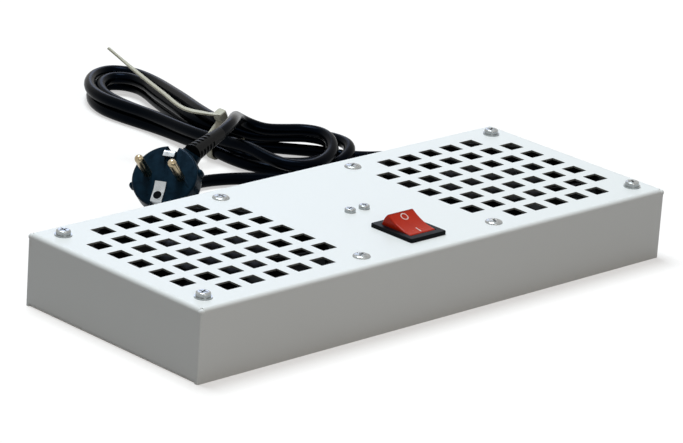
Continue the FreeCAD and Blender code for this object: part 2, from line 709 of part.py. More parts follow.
def rocker():
    """A paddle on two pivot pins: dished on top, with end faces that are arcs about the pivot."""
    edge_y = math.sqrt(ROCKER_REACH ** 2 - ROCKER_EDGE_RISE ** 2)
    skirt_y = math.sqrt(ROCKER_REACH ** 2 - ROCKER_SKIRT ** 2)

    def at(y, z):
        return Vector(-ROCKER_X / 2, y, z)

    outline = [
        Part.Arc(at(-edge_y, ROCKER_EDGE_RISE), at(0, ROCKER_EDGE_RISE - ROCKER_DISH),
                 at(edge_y, ROCKER_EDGE_RISE)).toShape(),
        Part.Arc(at(edge_y, ROCKER_EDGE_RISE), at(ROCKER_REACH, 0), at(skirt_y, -ROCKER_SKIRT)).toShape(),
        Part.makeLine(at(skirt_y, -ROCKER_SKIRT), at(-skirt_y, -ROCKER_SKIRT)),
        Part.Arc(at(-skirt_y, -ROCKER_SKIRT), at(-ROCKER_REACH, 0), at(-edge_y, ROCKER_EDGE_RISE)).toShape(),
    ]
    paddle = Part.Face(Part.Wire(outline)).extrude(Vector(ROCKER_X, 0, 0))
    pin_reach = WINDOW_X / 2 + PIVOT_LENGTH - PIVOT_FIT
    pins = Part.makeCylinder(PIVOT_RADIUS, 2 * pin_reach, Vector(-pin_reach, 0, 0), Vector(1, 0, 0))
    paddle = paddle.fuse(pins)
    paddle.rotate(Vector(), Vector(1, 0, 0), ROCKER_TILT)
    return moved(paddle, SWITCH_X, SWITCH_Y, PIVOT_Z)


def tab_places():
    return [(SWITCH_X + sx * TAB_SPACING_X / 2, SWITCH_Y + sy * TAB_SPACING_Y / 2)
            for sx in (-1, 1) for sy in (-1, 1)]


def switch_tabs():
    top = PLATE_UNDERSIDE - HOUSING_DEPTH
    return [box((x - TAB_WIDTH / 2, x + TAB_WIDTH / 2), (y - TAB / 2, y + TAB / 2), (top - TAB_LENGTH, top))
            for x, y in tab_places()]


# ---- leads inside the tray
def fan_lead(side):
    """A flat twin lead that lies under an arm of the fan, leaves its frame and ends under a switch tab."""
    inward = 1 if FANS[side] < 0 else -1
    start = FANS[side] + inward * (HUB_RADIUS - ARM_WIDTH)
    edge = FANS[side] + inward * FAN_SIDE / 2
    low = FAN_BACK - LEAD_GAP - TWIN / 2
    tab_x = SWITCH_X - inward * TAB_SPACING_X / 2
    tab_y = SWITCH_Y - TAB_SPACING_Y / 2
    points = (
        (start, 0.0, low),
        (edge - inward * LEAD_TURN, 0.0, low),
        (edge + inward * LEAD_SWING, -LEAD_SWING, UNDER_TAB + LEAD_RISE),
        (tab_x - inward * LEAD_SWING, tab_y + LEAD_EXIT, UNDER_TAB),
        (tab_x + inward * TAB_WIDTH / 3, tab_y, UNDER_TAB),
    )
    return ribbon(points, TWIN_WIDTH, TWIN, (0, 1, 0))


def switch_lead(side):
    """A lead from the front of the block down to the end of a tab."""
    x = pole_places()[0 if side < 0 else -1]
    front = BLOCK_Y - BLOCK_DEPTH / 2
    tab_x = SWITCH_X + side * TAB_SPACING_X / 2
    tab_y = SWITCH_Y + TAB_SPACING_Y / 2
    points = (
        (x, front, SLEEVE_Z),
        (x, front - LEAD_EXIT, SLEEVE_Z - EARTH_SLACK),
        (tab_x, tab_y + 2 * LEAD_EXIT, UNDER_TAB + LEAD_RISE),
        (tab_x, tab_y + LEAD_EXIT, UNDER_TAB),
        (tab_x, tab_y - TAB, UNDER_TAB),
    )
    return ribbon(points, TWIN, TWIN, (1, 0, 0))


def earth_lead():
    """The earth core, from its ring on a block screw round into the front of the middle pole."""
    ring_x, ring_y = block_screw_places()[0]
    front = BLOCK_Y - BLOCK_DEPTH / 2
    level = BLOCK_BACK - TWIN / 2
    points = (
        (ring_x, ring_y - RING_RADIUS, level),
        (ring_x + EARTH_SLACK, front - 2 * EARTH_SLACK, level - EARTH_SLACK),
        (BLOCK_X - EARTH_SLACK, front - LEAD_EXIT - EARTH_SLACK, level + EARTH_SLACK),
        (BLOCK_X, front - LEAD_EXIT, SLEEVE_Z),
        (BLOCK_X, front, SLEEVE_Z),
    )
    return ribbon(points, TWIN, TWIN, (1, 0, 0))


def mains_inner():
    """The outer sheath inside the tray, from the bush to where its cores fan out."""
    end = BLOCK_Y + BLOCK_DEPTH / 2 + SHEATH_END
    return bar_y(CORD / 2, end, WALL_Y - SHEET - BUSH_CATCH, BUSH_X, BUSH_Z)


def mains_cores():
    """Three cores from the end of the sheath to the back of the block."""
    back = BLOCK_Y + BLOCK_DEPTH / 2
    start = back + SHEATH_END
    cores = []
    for index, x in enumerate(pole_places()):
        offset = (index - 1) * (TWIN + LEAD_GAP)
        points = (
            (BUSH_X + offset, start, BUSH_Z),
            (BUSH_X + offset, start - LEAD_EXIT, BUSH_Z),
            (x, back + LEAD_EXIT, SLEEVE_Z),
            (x, back, SLEEVE_Z),
        )
        cores.append(ribbon(points, TWIN, TWIN, (1, 0, 0)))
    return cores


# ---- cord, bush, hank and tie
def cord_bush():
    """A flanged bush in the back wall with a tapered tail, bored for the cord."""
    flange_end = WALL_Y + BUSH_FLANGE
    catch = bar_y(BUSH_HOLE - SEAT, WALL_Y - SHEET - BUSH_CATCH, WALL_Y, BUSH_X, BUSH_Z)
    flange = bar_y(BUSH_FLANGE_RADIUS, WALL_Y, flange_end, BUSH_X, BUSH_Z)
    tail = Part.makeCone(BUSH_HOLE - SEAT, BUSH_TAIL_RADIUS, BUSH_TAIL, Vector(BUSH_X, flange_end, BUSH_Z),
                         Vector(0, 1, 0))
    return catch.fuse([flange, tail])


def tapered_slab(start, start_radius, end, end_radius, z0, z1):
    """Two upright discs joined by their common tangents: the outline that a loop of cord keeps."""
    along = end - start
    distance = along.Length
    heading = along / distance
    left = Vector(-heading.y, heading.x, 0)
    lean = (start_radius - end_radius) / distance
    cross = math.sqrt(1 - lean ** 2)
    lift = Vector(0, 0, z0)
    touches = []
    for side in (1, -1):
        direction = heading * lean + left * (side * cross)
        touches.append((start + direction * start_radius + lift, end + direction * end_radius + lift))
    far = end + heading * end_radius + lift
    near = start - heading * start_radius + lift
    outline = [
        Part.makeLine(touches[0][0], touches[0][1]),
        Part.Arc(touches[0][1], far, touches[1][1]).toShape(),
        Part.makeLine(touches[1][1], touches[1][0]),
        Part.Arc(touches[1][0], near, touches[0][0]).toShape(),
    ]
    block = Part.Face(Part.Wire(outline)).extrude(Vector(0, 0, z1 - z0))
    return block.makeFillet(HANK_EDGE, edges_at(block, z0) + edges_at(block, z1))


def tie_frame(shape):
    """Turns a shape made across the Y axis so that it lies across the bundle at the tie."""
    turned = shape.copy()
    angle = math.degrees(math.atan2(-TIE_HEADING.x, TIE_HEADING.y))
    turned.rotate(Vector(), Vector(0, 0, 1), angle)
    turned.translate(TIE_CENTRE)
    return turned


def tie_band(grow, half_width):
    """A block across the bundle at the tie, larger than the band's inner faces by grow."""
    half = HANK_TIE_RADIUS - TIE + grow
    face = rounded_face(lambda a, b: Vector(a, -half_width, b), (-half, HANK_FLOOR + TIE - grow),
                        (half, HANK_TIE_TOP - TIE + grow), (HANK_EDGE,) * 4)
    return tie_frame(face.extrude(Vector(0, 2 * half_width, 0)))


def hank(lead, tail):
    """The tied bundle: a long loop and a short one that meet at the tie, with a groove for its band.

    The last stretch of the lead runs into one side and the cord to the plug lies across the top.
    """
    step = TIE_HEADING * HANK_TIE_RADIUS / 2
    lobes = [tapered_slab(TIE_CENTRE - step, HANK_TIE_RADIUS, TIE_CENTRE + step, HANK_TIE_RADIUS, HANK_FLOOR,
                          HANK_TIE_TOP)]
    for rounds in (FAR_LOBE, NEAR_LOBE):
        start, start_radius = TIE_CENTRE, HANK_TIE_RADIUS
        for end, end_radius, top in rounds:
            lobes.append(tapered_slab(start, start_radius, end, end_radius, HANK_FLOOR, top))
            start, start_radius = end, end_radius
    bundle = lobes[0].fuse(lobes[1:])
    half = TIE_WIDTH / 2 + TIE_SLACK
    wide = HANK_TIE_RADIUS * 2
    groove = tie_frame(box((-wide, wide), (-half, half), (0.0, HANK_TIE_TOP)))
    groove = groove.cut(tie_band(0.0, half))
    return bundle.cut([groove, lead, tail])


def cable_tie():
    """A band round the bundle, its head on top and its free end standing away."""
    half = TIE_WIDTH / 2
    band = tie_band(TIE - 0.1, half).cut(tie_band(0.1, half))
    head_low = HANK_TIE_TOP - TIE / 2
    head = tie_frame(box((-TIE_HEAD.x, TIE_HEAD.x / 3), (-TIE_HEAD.y / 2, TIE_HEAD.y / 2),
                         (head_low, head_low + TIE_HEAD.z)))
    start = tie_frame(Part.Vertex(-TIE_HEAD.x / 2, 0, head_low + TIE_HEAD.z / 2)).Point
    tail = ribbon((tuple(start),) + TIE_TAIL_POINTS, TIE_WIDTH, TIE, TIE_HEADING)
    return band.fuse([head, tail])


# ---- plug
def plug_axes():
    facing = Vector(PLUG_FACING).normalize()
    spread = PLUG_SPREAD - facing * PLUG_SPREAD.dot(facing)
    spread.normalize()
    return spread, facing.cross(spread), facing


def plug_placement():
    across, up, facing = plug_axes()
    matrix = FreeCAD.Matrix(across.x, up.x, facing.x, PLUG_CENTRE.x,
                            across.y, up.y, facing.y, PLUG_CENTRE.y,
                            across.z, up.z, facing.z, PLUG_CENTRE.z, 0, 0, 0, 1)
    return FreeCAD.Placement(matrix)


def on_plug(shape):
    """Puts a shape made with the plug's face at zero and its pins along +Z where the plug lies."""
    placed = shape.copy()
    placed.Placement = plug_placement().multiply(placed.Placement)
    return placed


def earth_clip(side):
    """A bent earth contact: a strip over the face and down the slot in the plug's rim."""
    half = EARTH_WIDTH / 2
    reach = sorted((side * (EARTH_RADIUS - EARTH), side * EARTH_RADIUS))
    inner = EARTH_RADIUS / 3 if side < 0 else EARTH_RADIUS - 2 * EARTH
    across = sorted((side * inner, side * EARTH_RADIUS))
    down = box((-half, half), reach, (-EARTH_SLOT_DEPTH, EARTH))
    face = box((-half, half), across, (0.0, EARTH))
    clip = down.fuse(face).removeSplitter()
    if side < 0:
        clip = clip.cut(cylinder(EARTH_HOLE_RADIUS, 0.0, EARTH, 0.0, -EARTH_HOLE_OFFSET))
    return on_plug(clip)


def plug_body():
    """A round moulded body with a tapered back, a slot for each earth contact and a neck for the cord."""
    rim = cylinder(PLUG_RADIUS, -PLUG_RIM, 0.0)
    rim = rim.makeChamfer(PLUG_EDGE, edges_at(rim, 0.0))
    back = Part.makeCone(PLUG_BACK_RADIUS, PLUG_RADIUS, PLUG_DEPTH - PLUG_RIM, Vector(0, 0, -PLUG_DEPTH))
    inside = PLUG_CENTRE - plug_axes()[2] * NECK_DEPTH
    along = RELIEF_ROOT - inside
    neck = Part.makeCone(NECK_RADIUS, RELIEF_ROOT_RADIUS, along.Length, inside, along)
    half = EARTH_SLOT / 2
    slots = []
    for side in (-1, 1):
        reach = sorted((side * (EARTH_RADIUS - EARTH), side * PLUG_RADIUS * 2))
        slots.append(box((-half, half), reach, (-EARTH_SLOT_DEPTH, 0.0)))
    roots = [cylinder(PIN_ROOT_RADIUS, -PLUG_RIM, 0.0, s * PIN_SPACING / 2, 0.0) for s in (-1, 1)]
    hole = cylinder(EARTH_HOLE_RADIUS, -PLUG_RIM, 0.0, 0.0, -EARTH_HOLE_OFFSET)
    return on_plug(rim.fuse(back)).fuse(neck).cut([on_plug(cut) for cut in slots + roots + [hole]])


def plug_pins():
    """Two round pins with domed ends, each with a thinner root seated in the body."""
    pins = []
    for side in (-1, 1):
        x = side * PIN_SPACING / 2
        root = cylinder(PIN_ROOT_RADIUS, -PLUG_RIM, 0.0, x, 0.0)
        shank = cylinder(PIN_RADIUS, 0.0, PIN_LENGTH - PIN_RADIUS, x, 0.0)
        dome = Part.makeSphere(PIN_RADIUS, Vector(x, 0, PIN_LENGTH - PIN_RADIUS))
        pins.append(on_plug(shank.fuse([root, dome])))
    return pins


def cord_relief():
    along = RELIEF_END - RELIEF_ROOT
    return Part.makeCone(RELIEF_ROOT_RADIUS, RELIEF_END_RADIUS, along.Length, RELIEF_ROOT, along)


# ---- all nodes
def fan_nodes():
    nodes = {}
    groups = {"fan_bearings": [], "stator_cores": [], "stator_coils": []}
    for side, x in FANS.items():
        nodes["fan_frame_" + side] = [moved(fan_frame(), x, 0.0, FAN_BACK)]
        nodes["impeller_" + side] = [moved(impeller(), x, 0.0, FAN_BACK)]
        nodes["flux_ring_" + side] = [moved(flux_ring(), x, 0.0, FAN_BACK)]
        nodes["fan_shaft_" + side] = [moved(fan_shaft(), x, 0.0, FAN_BACK)]
        nodes["fan_lead_" + side] = [fan_lead(side)]
        groups["fan_bearings"] += [moved(b, x, 0.0, FAN_BACK) for b in bearings()]
        groups["stator_cores"].append(moved(stator_core(), x, 0.0, FAN_BACK))
        groups["stator_coils"] += [moved(c, x, 0.0, FAN_BACK) for c in stator_coil()]
    nodes.update(groups)
    return nodes


def cord_nodes():
    lead = tube("mains_cord", ((BUSH_X, BUSH_END, BUSH_Z),) + LEAD_POINTS, CORD / 2)
    tail = tube("cord_tail", TAIL_POINTS + (tuple(RELIEF_END),), CORD / 2)
    return {
        "mains_cord": [lead],
        "cord_tail": [tail],
        "cord_hank": [hank(lead, tail)],
        "cable_tie": [cable_tie()],
        "cord_bush": [cord_bush()],
        "plug_body": [plug_body()],
        "plug_pins": plug_pins(),
        "plug_earth_clips": [earth_clip(1), earth_clip(-1)],
        "cord_relief": [cord_relief()],
    }


def all_nodes():
    nodes = {
        "tray_shell": [tray_shell()],
        "switch_housing": [switch_housing()],
        "rocker": [rocker()],
        "switch_tabs": switch_tabs(),
        "switch_leads": [switch_lead(-1), switch_lead(1)],
        "mains_inner": [mains_inner()],
        "mains_cores": mains_cores(),
    }
    nodes.update(fan_nodes())
    nodes.update(fan_fasteners())
    nodes.update(terminal_parts())
    nodes.update(cord_nodes())
    return nodes


def main():
    os.makedirs("parts", exist_ok=True)
    for name, solids in all_nodes().items():
        shape = solids[0] if len(solids) == 1 else Part.makeCompound(solids)
        shape.exportStep(os.path.join("parts", name + ".step"))
        box_of = shape.BoundBox
        print(name, "solids", len(shape.Solids), "valid", shape.isValid(),
              "z", round(box_of.ZMin, 2), round(box_of.ZMax, 2))


main()
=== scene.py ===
"""Dressed fan tray for a cabinet roof: finishes and fine shapes laid over the tray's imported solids.

Metres in Blender and millimetres in the tables below, in the solids' own frame: X along the tray,
Y from its front to its back, Z up from the rim that it stands on.
"""
import json
import math

import bmesh
import bpy
import numpy as np
from mathutils import Matrix


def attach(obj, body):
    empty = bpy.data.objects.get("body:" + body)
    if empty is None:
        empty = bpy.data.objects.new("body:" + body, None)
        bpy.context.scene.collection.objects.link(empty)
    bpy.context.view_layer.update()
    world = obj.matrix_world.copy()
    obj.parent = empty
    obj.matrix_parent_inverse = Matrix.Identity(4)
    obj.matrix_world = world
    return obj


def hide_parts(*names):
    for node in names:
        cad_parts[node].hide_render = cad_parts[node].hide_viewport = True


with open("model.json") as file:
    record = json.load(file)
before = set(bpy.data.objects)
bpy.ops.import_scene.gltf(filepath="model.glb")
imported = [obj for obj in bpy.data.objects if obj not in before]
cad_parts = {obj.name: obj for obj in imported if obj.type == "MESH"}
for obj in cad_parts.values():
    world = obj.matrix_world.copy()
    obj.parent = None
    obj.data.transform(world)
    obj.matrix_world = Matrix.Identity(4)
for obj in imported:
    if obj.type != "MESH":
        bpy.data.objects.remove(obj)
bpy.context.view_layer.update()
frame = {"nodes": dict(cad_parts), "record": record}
MM = 0.001
TURN = 2 * math.pi

# ---- sizes in mm, as in the solids
TRAY_TOP = 38.5
WALL_X = 164.0
WALL_Y = 65.0
FAN_SCREW_X = (-152.0, -47.0, 47.0, 152.0)
FAN_SCREW_Y = 52.5
SCREW_LENGTH = 35.0
WASHER = 0.8
BLOCK_SCREWS = ((-5.0, 0.0), (5.0, 0.0))
BLOCK_SCREW_LENGTH = 20.0
# the slab just below the plate's face that holds the holes' walls, where their shade is painted:
# on each axis, its middle and its half width
HOLE_FIELD = (("X", 0.0, 156.0), ("Y", 0.0, 57.0), ("Z", TRAY_TOP - 0.6, 0.5))
BEAD = 1.7
BEAD_PLACE = np.array((WALL_X - 1.25, WALL_Y - 1.25, TRAY_TOP - 2.0))
SWITCH = np.array((0.3, -37.4, 38.6))
ROCKER_TILT = math.radians(20.0)
ROCKER_WIDTH = 17.8
ROCKER_REACH = 10.6
ROCKER_RISE = 5.6
ROCKER_DISH = 1.2
ROCKER_SKIRT = 4.5
ROCKER_ROUNDING = 0.6
EDGE_BAND = 0.9
INK = 0.06
CORD_RADIUS = 3.4
WIRE_RADIUS = 0.9
BUSH = np.array((12.0, 65.0, 12.0))
BUSH_FLANGE = 2.5
BUSH_TAIL = 24.0
# radius, and distance back from the outside of the wall
BUSH_PROFILE = ((0, -4.0), (5.6, -4.0), (5.9, -3.7), (5.9, 0.0), (7.4, 0.0), (8.0, 0.5), (8.0, 1.9),
                (7.4, 2.5), (0, 2.5))
RELIEF_ROOT = np.array((-2.3, 125.4, 34.0))
RELIEF_END = np.array((24.2, 132.9, 38.6))
RELIEF_SPINE = np.array((-0.66, -0.68, 0.32))
TIE_Y = 187.3
TIE_WIDTH = 4.6
TIE = 1.2
TIE_HEAD = np.array((74.3, 187.9, 25.4))
TIE_HEAD_HALF = (3.2, 3.1, 2.8)
TIE_HEAD_LEAN = math.radians(-28)
PLUG_CENTRE = np.array((-22.7, 124.2, 25.6))
PLUG_FACING = (-0.661, -0.292, 0.691)
PLUG_SPREAD = (0.441, -0.897, 0.044)
PLUG_RADIUS = 18.3
PLUG_RIM = 9.0
PLUG_DEPTH = 22.0
PLUG_BACK_RADIUS = 12.5
FACE_EDGE = 1.4
BACK_EDGE = 1.5
NECK_DEPTH = 13.2
NECK_RADIUS = 5.6
NECK_SPREAD = 3.8
# radius and height of a grip on the plug's side, and its place across and up the face
GRIP_PROFILE = ((0.0, -3.2), (1.1, -2.9), (1.7, -1.8), (1.8, 0.0), (1.7, 1.8), (1.1, 2.9),
                (0.0, 3.2))
GRIP_PLACE = np.array((17.6, 0.36 * 17.6))
GRIP_DEPTH = 5.0
# the raised bars on the plug's face: their ends, and their width and height
FACE_BARS = (((-14.6, 7.4), (-6.4, -4.4)), ((6.2, 6.2), (15.8, -5.2)))
FACE_BAR = (1.0, 0.8)
PIN_RADIUS = 2.4
PIN_LENGTH = 19.0
PIN_OFFSET = 9.5
SLOT_HALF = 3.3
SLOT_FLOOR = 13.0
SLOT_DEPTH = 8.0
CLIP_RADIUS = 13.8
CLIP_REACH = 15.6
CLIP_HOLE = 12.2
CLIP_HALF = 3.2
CLIP_BEND = 0.9
CLIP = 0.8
CLIP_FOLDED = 2.2 * CLIP
EYELET = (2.35, 2.8, 0.3)  # inner and outer radius, thickness

# ---- routes in mm
# The lead: out of its bush, down to the floor, round behind the tray and into the bundle.
LEAD_OUT = (
    (12.0, 91.5, 12.0), (12.0, 99.0, 11.5), (9.0, 110.5, 8.3), (5.5, 129.0, 4.6),
    (10.5, 146.0, 3.6), (25.0, 155.2, 3.6), (46.5, 151.2, 3.6), (73.0, 134.6, 3.6),
    (104.9, 111.9, 3.6), (130.5, 90.8, 3.6), (151.4, 78.2, 3.6), (169.4, 77.2, 3.6),
    (184.4, 84.9, 3.6), (191.3, 99.5, 3.6), (187.2, 115.3, 3.6), (173.2, 124.7, 3.6),
    (156.3, 127.3, 3.6), (140.3, 135.3, 3.6), (129.8, 145.2, 3.6), (125.8, 155.6, 3.6),
    (118.8, 164.0, 3.6), (109.2, 172.6, 4.0), (98.4, 181.0, 4.8),
)
# Each turn of the bundle: its long loop from the tie and back, then its short one.
FIRST_TURN = (
    (86.2, 191.2, 5.2), (84.7, 204.9, 5.6), (87.1, 220.6, 6.2), (92.1, 239.2, 5.6),
    (98.0, 257.7, 4.6), (104.9, 276.2, 3.8), (111.3, 291.8, 3.6), (114.3, 304.4, 3.6),
    (109.3, 316.2, 3.6), (96.8, 319.7, 3.6), (84.9, 311.5, 3.6), (75.0, 298.9, 3.6),
    (69.6, 284.3, 3.6), (69.6, 268.7, 3.6), (71.6, 253.0, 3.6), (73.7, 236.4, 3.6),
    (73.7, 218.8, 3.8), (72.3, 202.1, 4.5), (70.8, 186.4, 5.2), (70.8, 171.7, 4.4),
    (74.4, 157.9, 3.6), (82.9, 145.5, 3.6), (94.9, 136.1, 3.8), (108.4, 130.6, 5.0),
    (121.3, 132.0, 8.6), (130.7, 139.8, 10.6), (133.7, 150.6, 10.6), (130.1, 161.9, 10.6),
    (121.6, 170.8, 10.6), (110.6, 177.7, 10.4), (98.7, 184.2, 10.6),
)
SECOND_TURN = (
    (87.2, 193.1, 11.2), (84.1, 205.9, 11.6), (83.6, 221.6, 12.6), (89.0, 239.6, 12.2),
    (95.4, 257.7, 11.4), (101.8, 275.2, 10.6), (108.3, 290.4, 10.4), (109.0, 306.0, 10.2),
    (99.8, 314.2, 9.6), (86.8, 307.6, 8.6), (79.6, 293.0, 7.6), (78.5, 275.4, 7.0),
    (80.0, 257.8, 6.6), (81.6, 240.2, 6.4), (81.1, 222.6, 6.0), (79.2, 206.0, 5.2),
    (77.8, 188.3, 5.2), (77.8, 173.6, 4.4), (84.3, 163.0, 3.6), (93.1, 151.8, 3.6),
    (103.3, 143.9, 4.2), (112.8, 139.4, 6.6), (122.3, 143.8, 9.6), (126.7, 154.0, 10.8),
    (121.7, 164.9, 11.2), (110.7, 170.9, 11.6), (99.2, 175.4, 12.2), (88.7, 181.8, 14.0),
)
THIRD_TURN = (
    (77.6, 190.2, 19.8), (82.0, 206.8, 19.0), (88.5, 224.4, 17.6), (96.4, 243.0, 16.0),
    (104.3, 262.4, 14.0), (111.7, 281.9, 12.2), (116.6, 299.4, 10.8), (116.6, 313.6, 10.4),
    (108.1, 323.4, 10.4), (95.2, 321.6, 10.4), (82.8, 312.0, 10.4), (72.9, 297.9, 10.4),
    (69.0, 282.3, 10.4), (70.0, 265.7, 10.4), (72.0, 248.1, 10.4), (71.6, 229.5, 10.6),
    (69.7, 209.9, 11.2), (69.7, 191.3, 12.0), (69.7, 175.6, 14.0), (71.8, 160.8, 14.6),
    (72.8, 147.1, 12.6), (75.4, 134.8, 11.2), (84.4, 125.9, 10.8), (96.8, 126.3, 11.6),
    (108.8, 131.6, 13.6), (117.2, 141.3, 16.0), (120.2, 152.6, 17.0), (115.1, 162.5, 17.0),
    (105.1, 167.9, 17.0),
)
# From the bundle over its top to the plug.
TO_PLUG = (
    (95.1, 172.9, 17.6), (88.1, 178.9, 20.4), (80.1, 179.4, 25.0), (70.1, 170.6, 30.0),
    (58.1, 158.5, 34.8), (45.6, 146.3, 38.8), (34.7, 137.3, 40.0), (24.2, 132.9, 38.6),
)
# where the strands pass through the plane of the tie, as X and Z
TIED_STRANDS = ((70.8, 5.0), (77.8, 5.1), (86.4, 5.1), (87.2, 11.2), (77.3, 19.9), (69.7, 12.2))
TAIL_WIDTH = (0.797, 0.593, -0.065)
TIE_TAIL = (
    (72.1, 187.6, 26.2), (63.1, 187.4, 28.5), (49.0, 191.4, 33.0), (42.9, 202.2, 40.0),
    (35.8, 215.9, 49.0), (28.6, 233.6, 60.0),
)
# the leads inside: each one's solid, its colour and its routes
WIRES = {
    "fan_wires_left": ("fan_lead_left", "black", (
        ((-74.5, -0.9, 11.3), (-47.5, -0.9, 11.3), (-27.5, -12.9, 10.0), (-16.2, -39.3, 7.55),
         (-2.1, -45.3, 7.55)),
        ((-74.5, 0.9, 11.3), (-47.5, 0.9, 11.3), (-27.5, -11.1, 10.0), (-16.2, -37.5, 7.55),
         (-2.1, -43.5, 7.55)),)),
    "fan_wires_right": ("fan_lead_right", "black", (
        ((74.5, -0.9, 11.3), (47.5, -0.9, 11.3), (27.5, -12.9, 10.0), (16.8, -39.3, 7.55),
         (2.7, -45.3, 7.55)),
        ((74.5, 0.9, 11.3), (47.5, 0.9, 11.3), (27.5, -11.1, 10.0), (16.8, -37.5, 7.55),
         (2.7, -43.5, 7.55)),)),
    "switch_wires": ("switch_leads", "brown", (
        ((-10.0, -8.5, 27.5), (-10.0, -14.5, 26.5), (-4.2, -18.4, 10.0), (-4.2, -24.4, 7.55),
         (-4.2, -31.2, 7.55)),
        ((10.0, -8.5, 27.5), (10.0, -14.5, 26.5), (4.8, -18.4, 10.0), (4.8, -24.4, 7.55),
         (4.8, -31.2, 7.55)),)),
    "earth_wire": ("earth_lead", "green", (
        ((-5.0, -3.2, 22.6), (-4.0, -10.5, 21.6), (-1.0, -15.5, 23.6), (0.0, -14.5, 27.5),
         (0.0, -8.5, 27.5)),)),
    "core_brown": ("mains_cores", "brown", (
        ((9.9, 34.5, 12.0), (9.9, 28.5, 12.0), (-10.0, 14.5, 27.5), (-10.0, 8.5, 27.5)),)),
    "core_green": ("mains_cores", "green", (
        ((12.0, 34.5, 12.0), (12.0, 28.5, 12.0), (0.0, 14.5, 27.5), (0.0, 8.5, 27.5)),)),
    "core_blue": ("mains_cores", "blue", (
        ((14.1, 34.5, 12.0), (14.1, 28.5, 12.0), (10.0, 14.5, 27.5), (10.0, 8.5, 27.5)),)),
}
SHEATH_INSIDE = ((12.0, 34.5, 12.0), (12.0, 44.0, 12.0), (12.0, 52.5, 12.0), (12.0, 61.0, 12.0))

# ---- floor and lamps
FLOOR_REACH = 9.0          # m
FLOOR_SEEN = "#C1BCB8"
FLOOR_GIVEN_BACK = "#8C8C8C"
GLOW = (0.52, 1.0)         # of the floor, near the tray and far from it
GLOW_RISE = (0.5, 2.5)     # m from the middle, over which the glow rises
WORLD = (0.19, 1.0)        # as a light, and where it is seen direct
# place and aim in m, side in m, watts, colour
LAMPS = (
    ("overhead", (0.0, 0.75, 2.8), (0.0, 0.05, 0.0), 1.1, 78.0, "#E8F4FC"),
    ("front_fill", (-0.42, -1.15, 0.55), (-0.02, -0.03, 0.0), 0.5, 2.5, "#FFFAF4"),
    ("under_fill", (0.0, 0.0, -0.8), (0.0, 0.0, 0.0), 0.6, 4.0, "#FFFFFF"),
    ("rear_strip", (1.15, 1.5, 0.75), (0.05, 0.15, 0.0), 0.6, 2.4, "#C0D4FF"),
)
LENS = 201.7
SENSOR = 36.0
CAMERA_VIEW = (
    (0.72470, 0.18012, -0.66510, -1.3144),
    (-0.68593, 0.28044, -0.67145, -1.3162),
    (0.06558, 0.94282, 0.32679, 0.6749),
    (0.0, 0.0, 0.0, 1.0),
)


# ---- finishes
def linear(code):
    """An sRGB hex colour as linear red, green, blue and alpha."""
    levels = np.array([int(code[i:i + 2], 16) for i in (1, 3, 5)]) / 255
    return (*np.where(levels <= 0.04045, levels / 12.92, ((levels + 0.055) / 1.055) ** 2.4), 1.0)


def add(material, kind, sockets, **settings):
    """A node of that kind with its settings; a socket gets a value, or a link to another socket."""
    made = material.node_tree.nodes.new(kind)
    for name, value in settings.items():
        setattr(made, name, value)
    for name, value in sockets.items():
        if isinstance(value, bpy.types.NodeSocket):
            material.node_tree.links.new(value, made.inputs[name])
        else:
            made.inputs[name].default_value = value
    return made


def finish(name, dark, light, patch, grain, relief, rough, stretch=(1.0, 1.0, 1.0), **sockets):
    """A surface of two near colours in patches, with a fine relief.

    patch and grain are the sizes of the patches and of the relief, and relief its depth, all in mm.
    Roughness runs between the two values of rough with the patches. stretch lengthens the relief.
    """
    material = bpy.data.materials.new(name)
    material.use_nodes = True
    shader = material.node_tree.nodes["Principled BSDF"]
    link = material.node_tree.links.new
    place = add(material, "ShaderNodeTexCoord", {})
    patches = add(material, "ShaderNodeTexNoise",
                  {"Vector": place.outputs["Object"], "Scale": 1000 / patch, "Detail": 3.0})
    colour = add(material, "ShaderNodeMix", {"Factor": patches.outputs["Fac"]}, data_type="RGBA")
    colour.inputs[6].default_value = linear(dark)
    colour.inputs[7].default_value = linear(light)
    spread = add(material, "ShaderNodeMapRange",
                 {"Value": patches.outputs["Fac"], "From Min": 0.3, "From Max": 0.7,
                  "To Min": rough[0], "To Max": rough[1]})
    drawn = add(material, "ShaderNodeMapping",
                {"Vector": place.outputs["Object"], "Scale": stretch})
    fine = add(material, "ShaderNodeTexNoise",
               {"Vector": drawn.outputs["Vector"], "Scale": 1000 / grain, "Detail": 2.0})
    bump = add(material, "ShaderNodeBump",
               {"Height": fine.outputs["Fac"], "Strength": 1.0, "Distance": relief * MM})
    link(colour.outputs[2], shader.inputs["Base Color"])
    link(spread.outputs["Result"], shader.inputs["Roughness"])
    link(bump.outputs["Normal"], shader.inputs["Normal"])
    for socket, value in sockets.items():
        shader.inputs[socket.replace("_", " ")].default_value = value
    return material


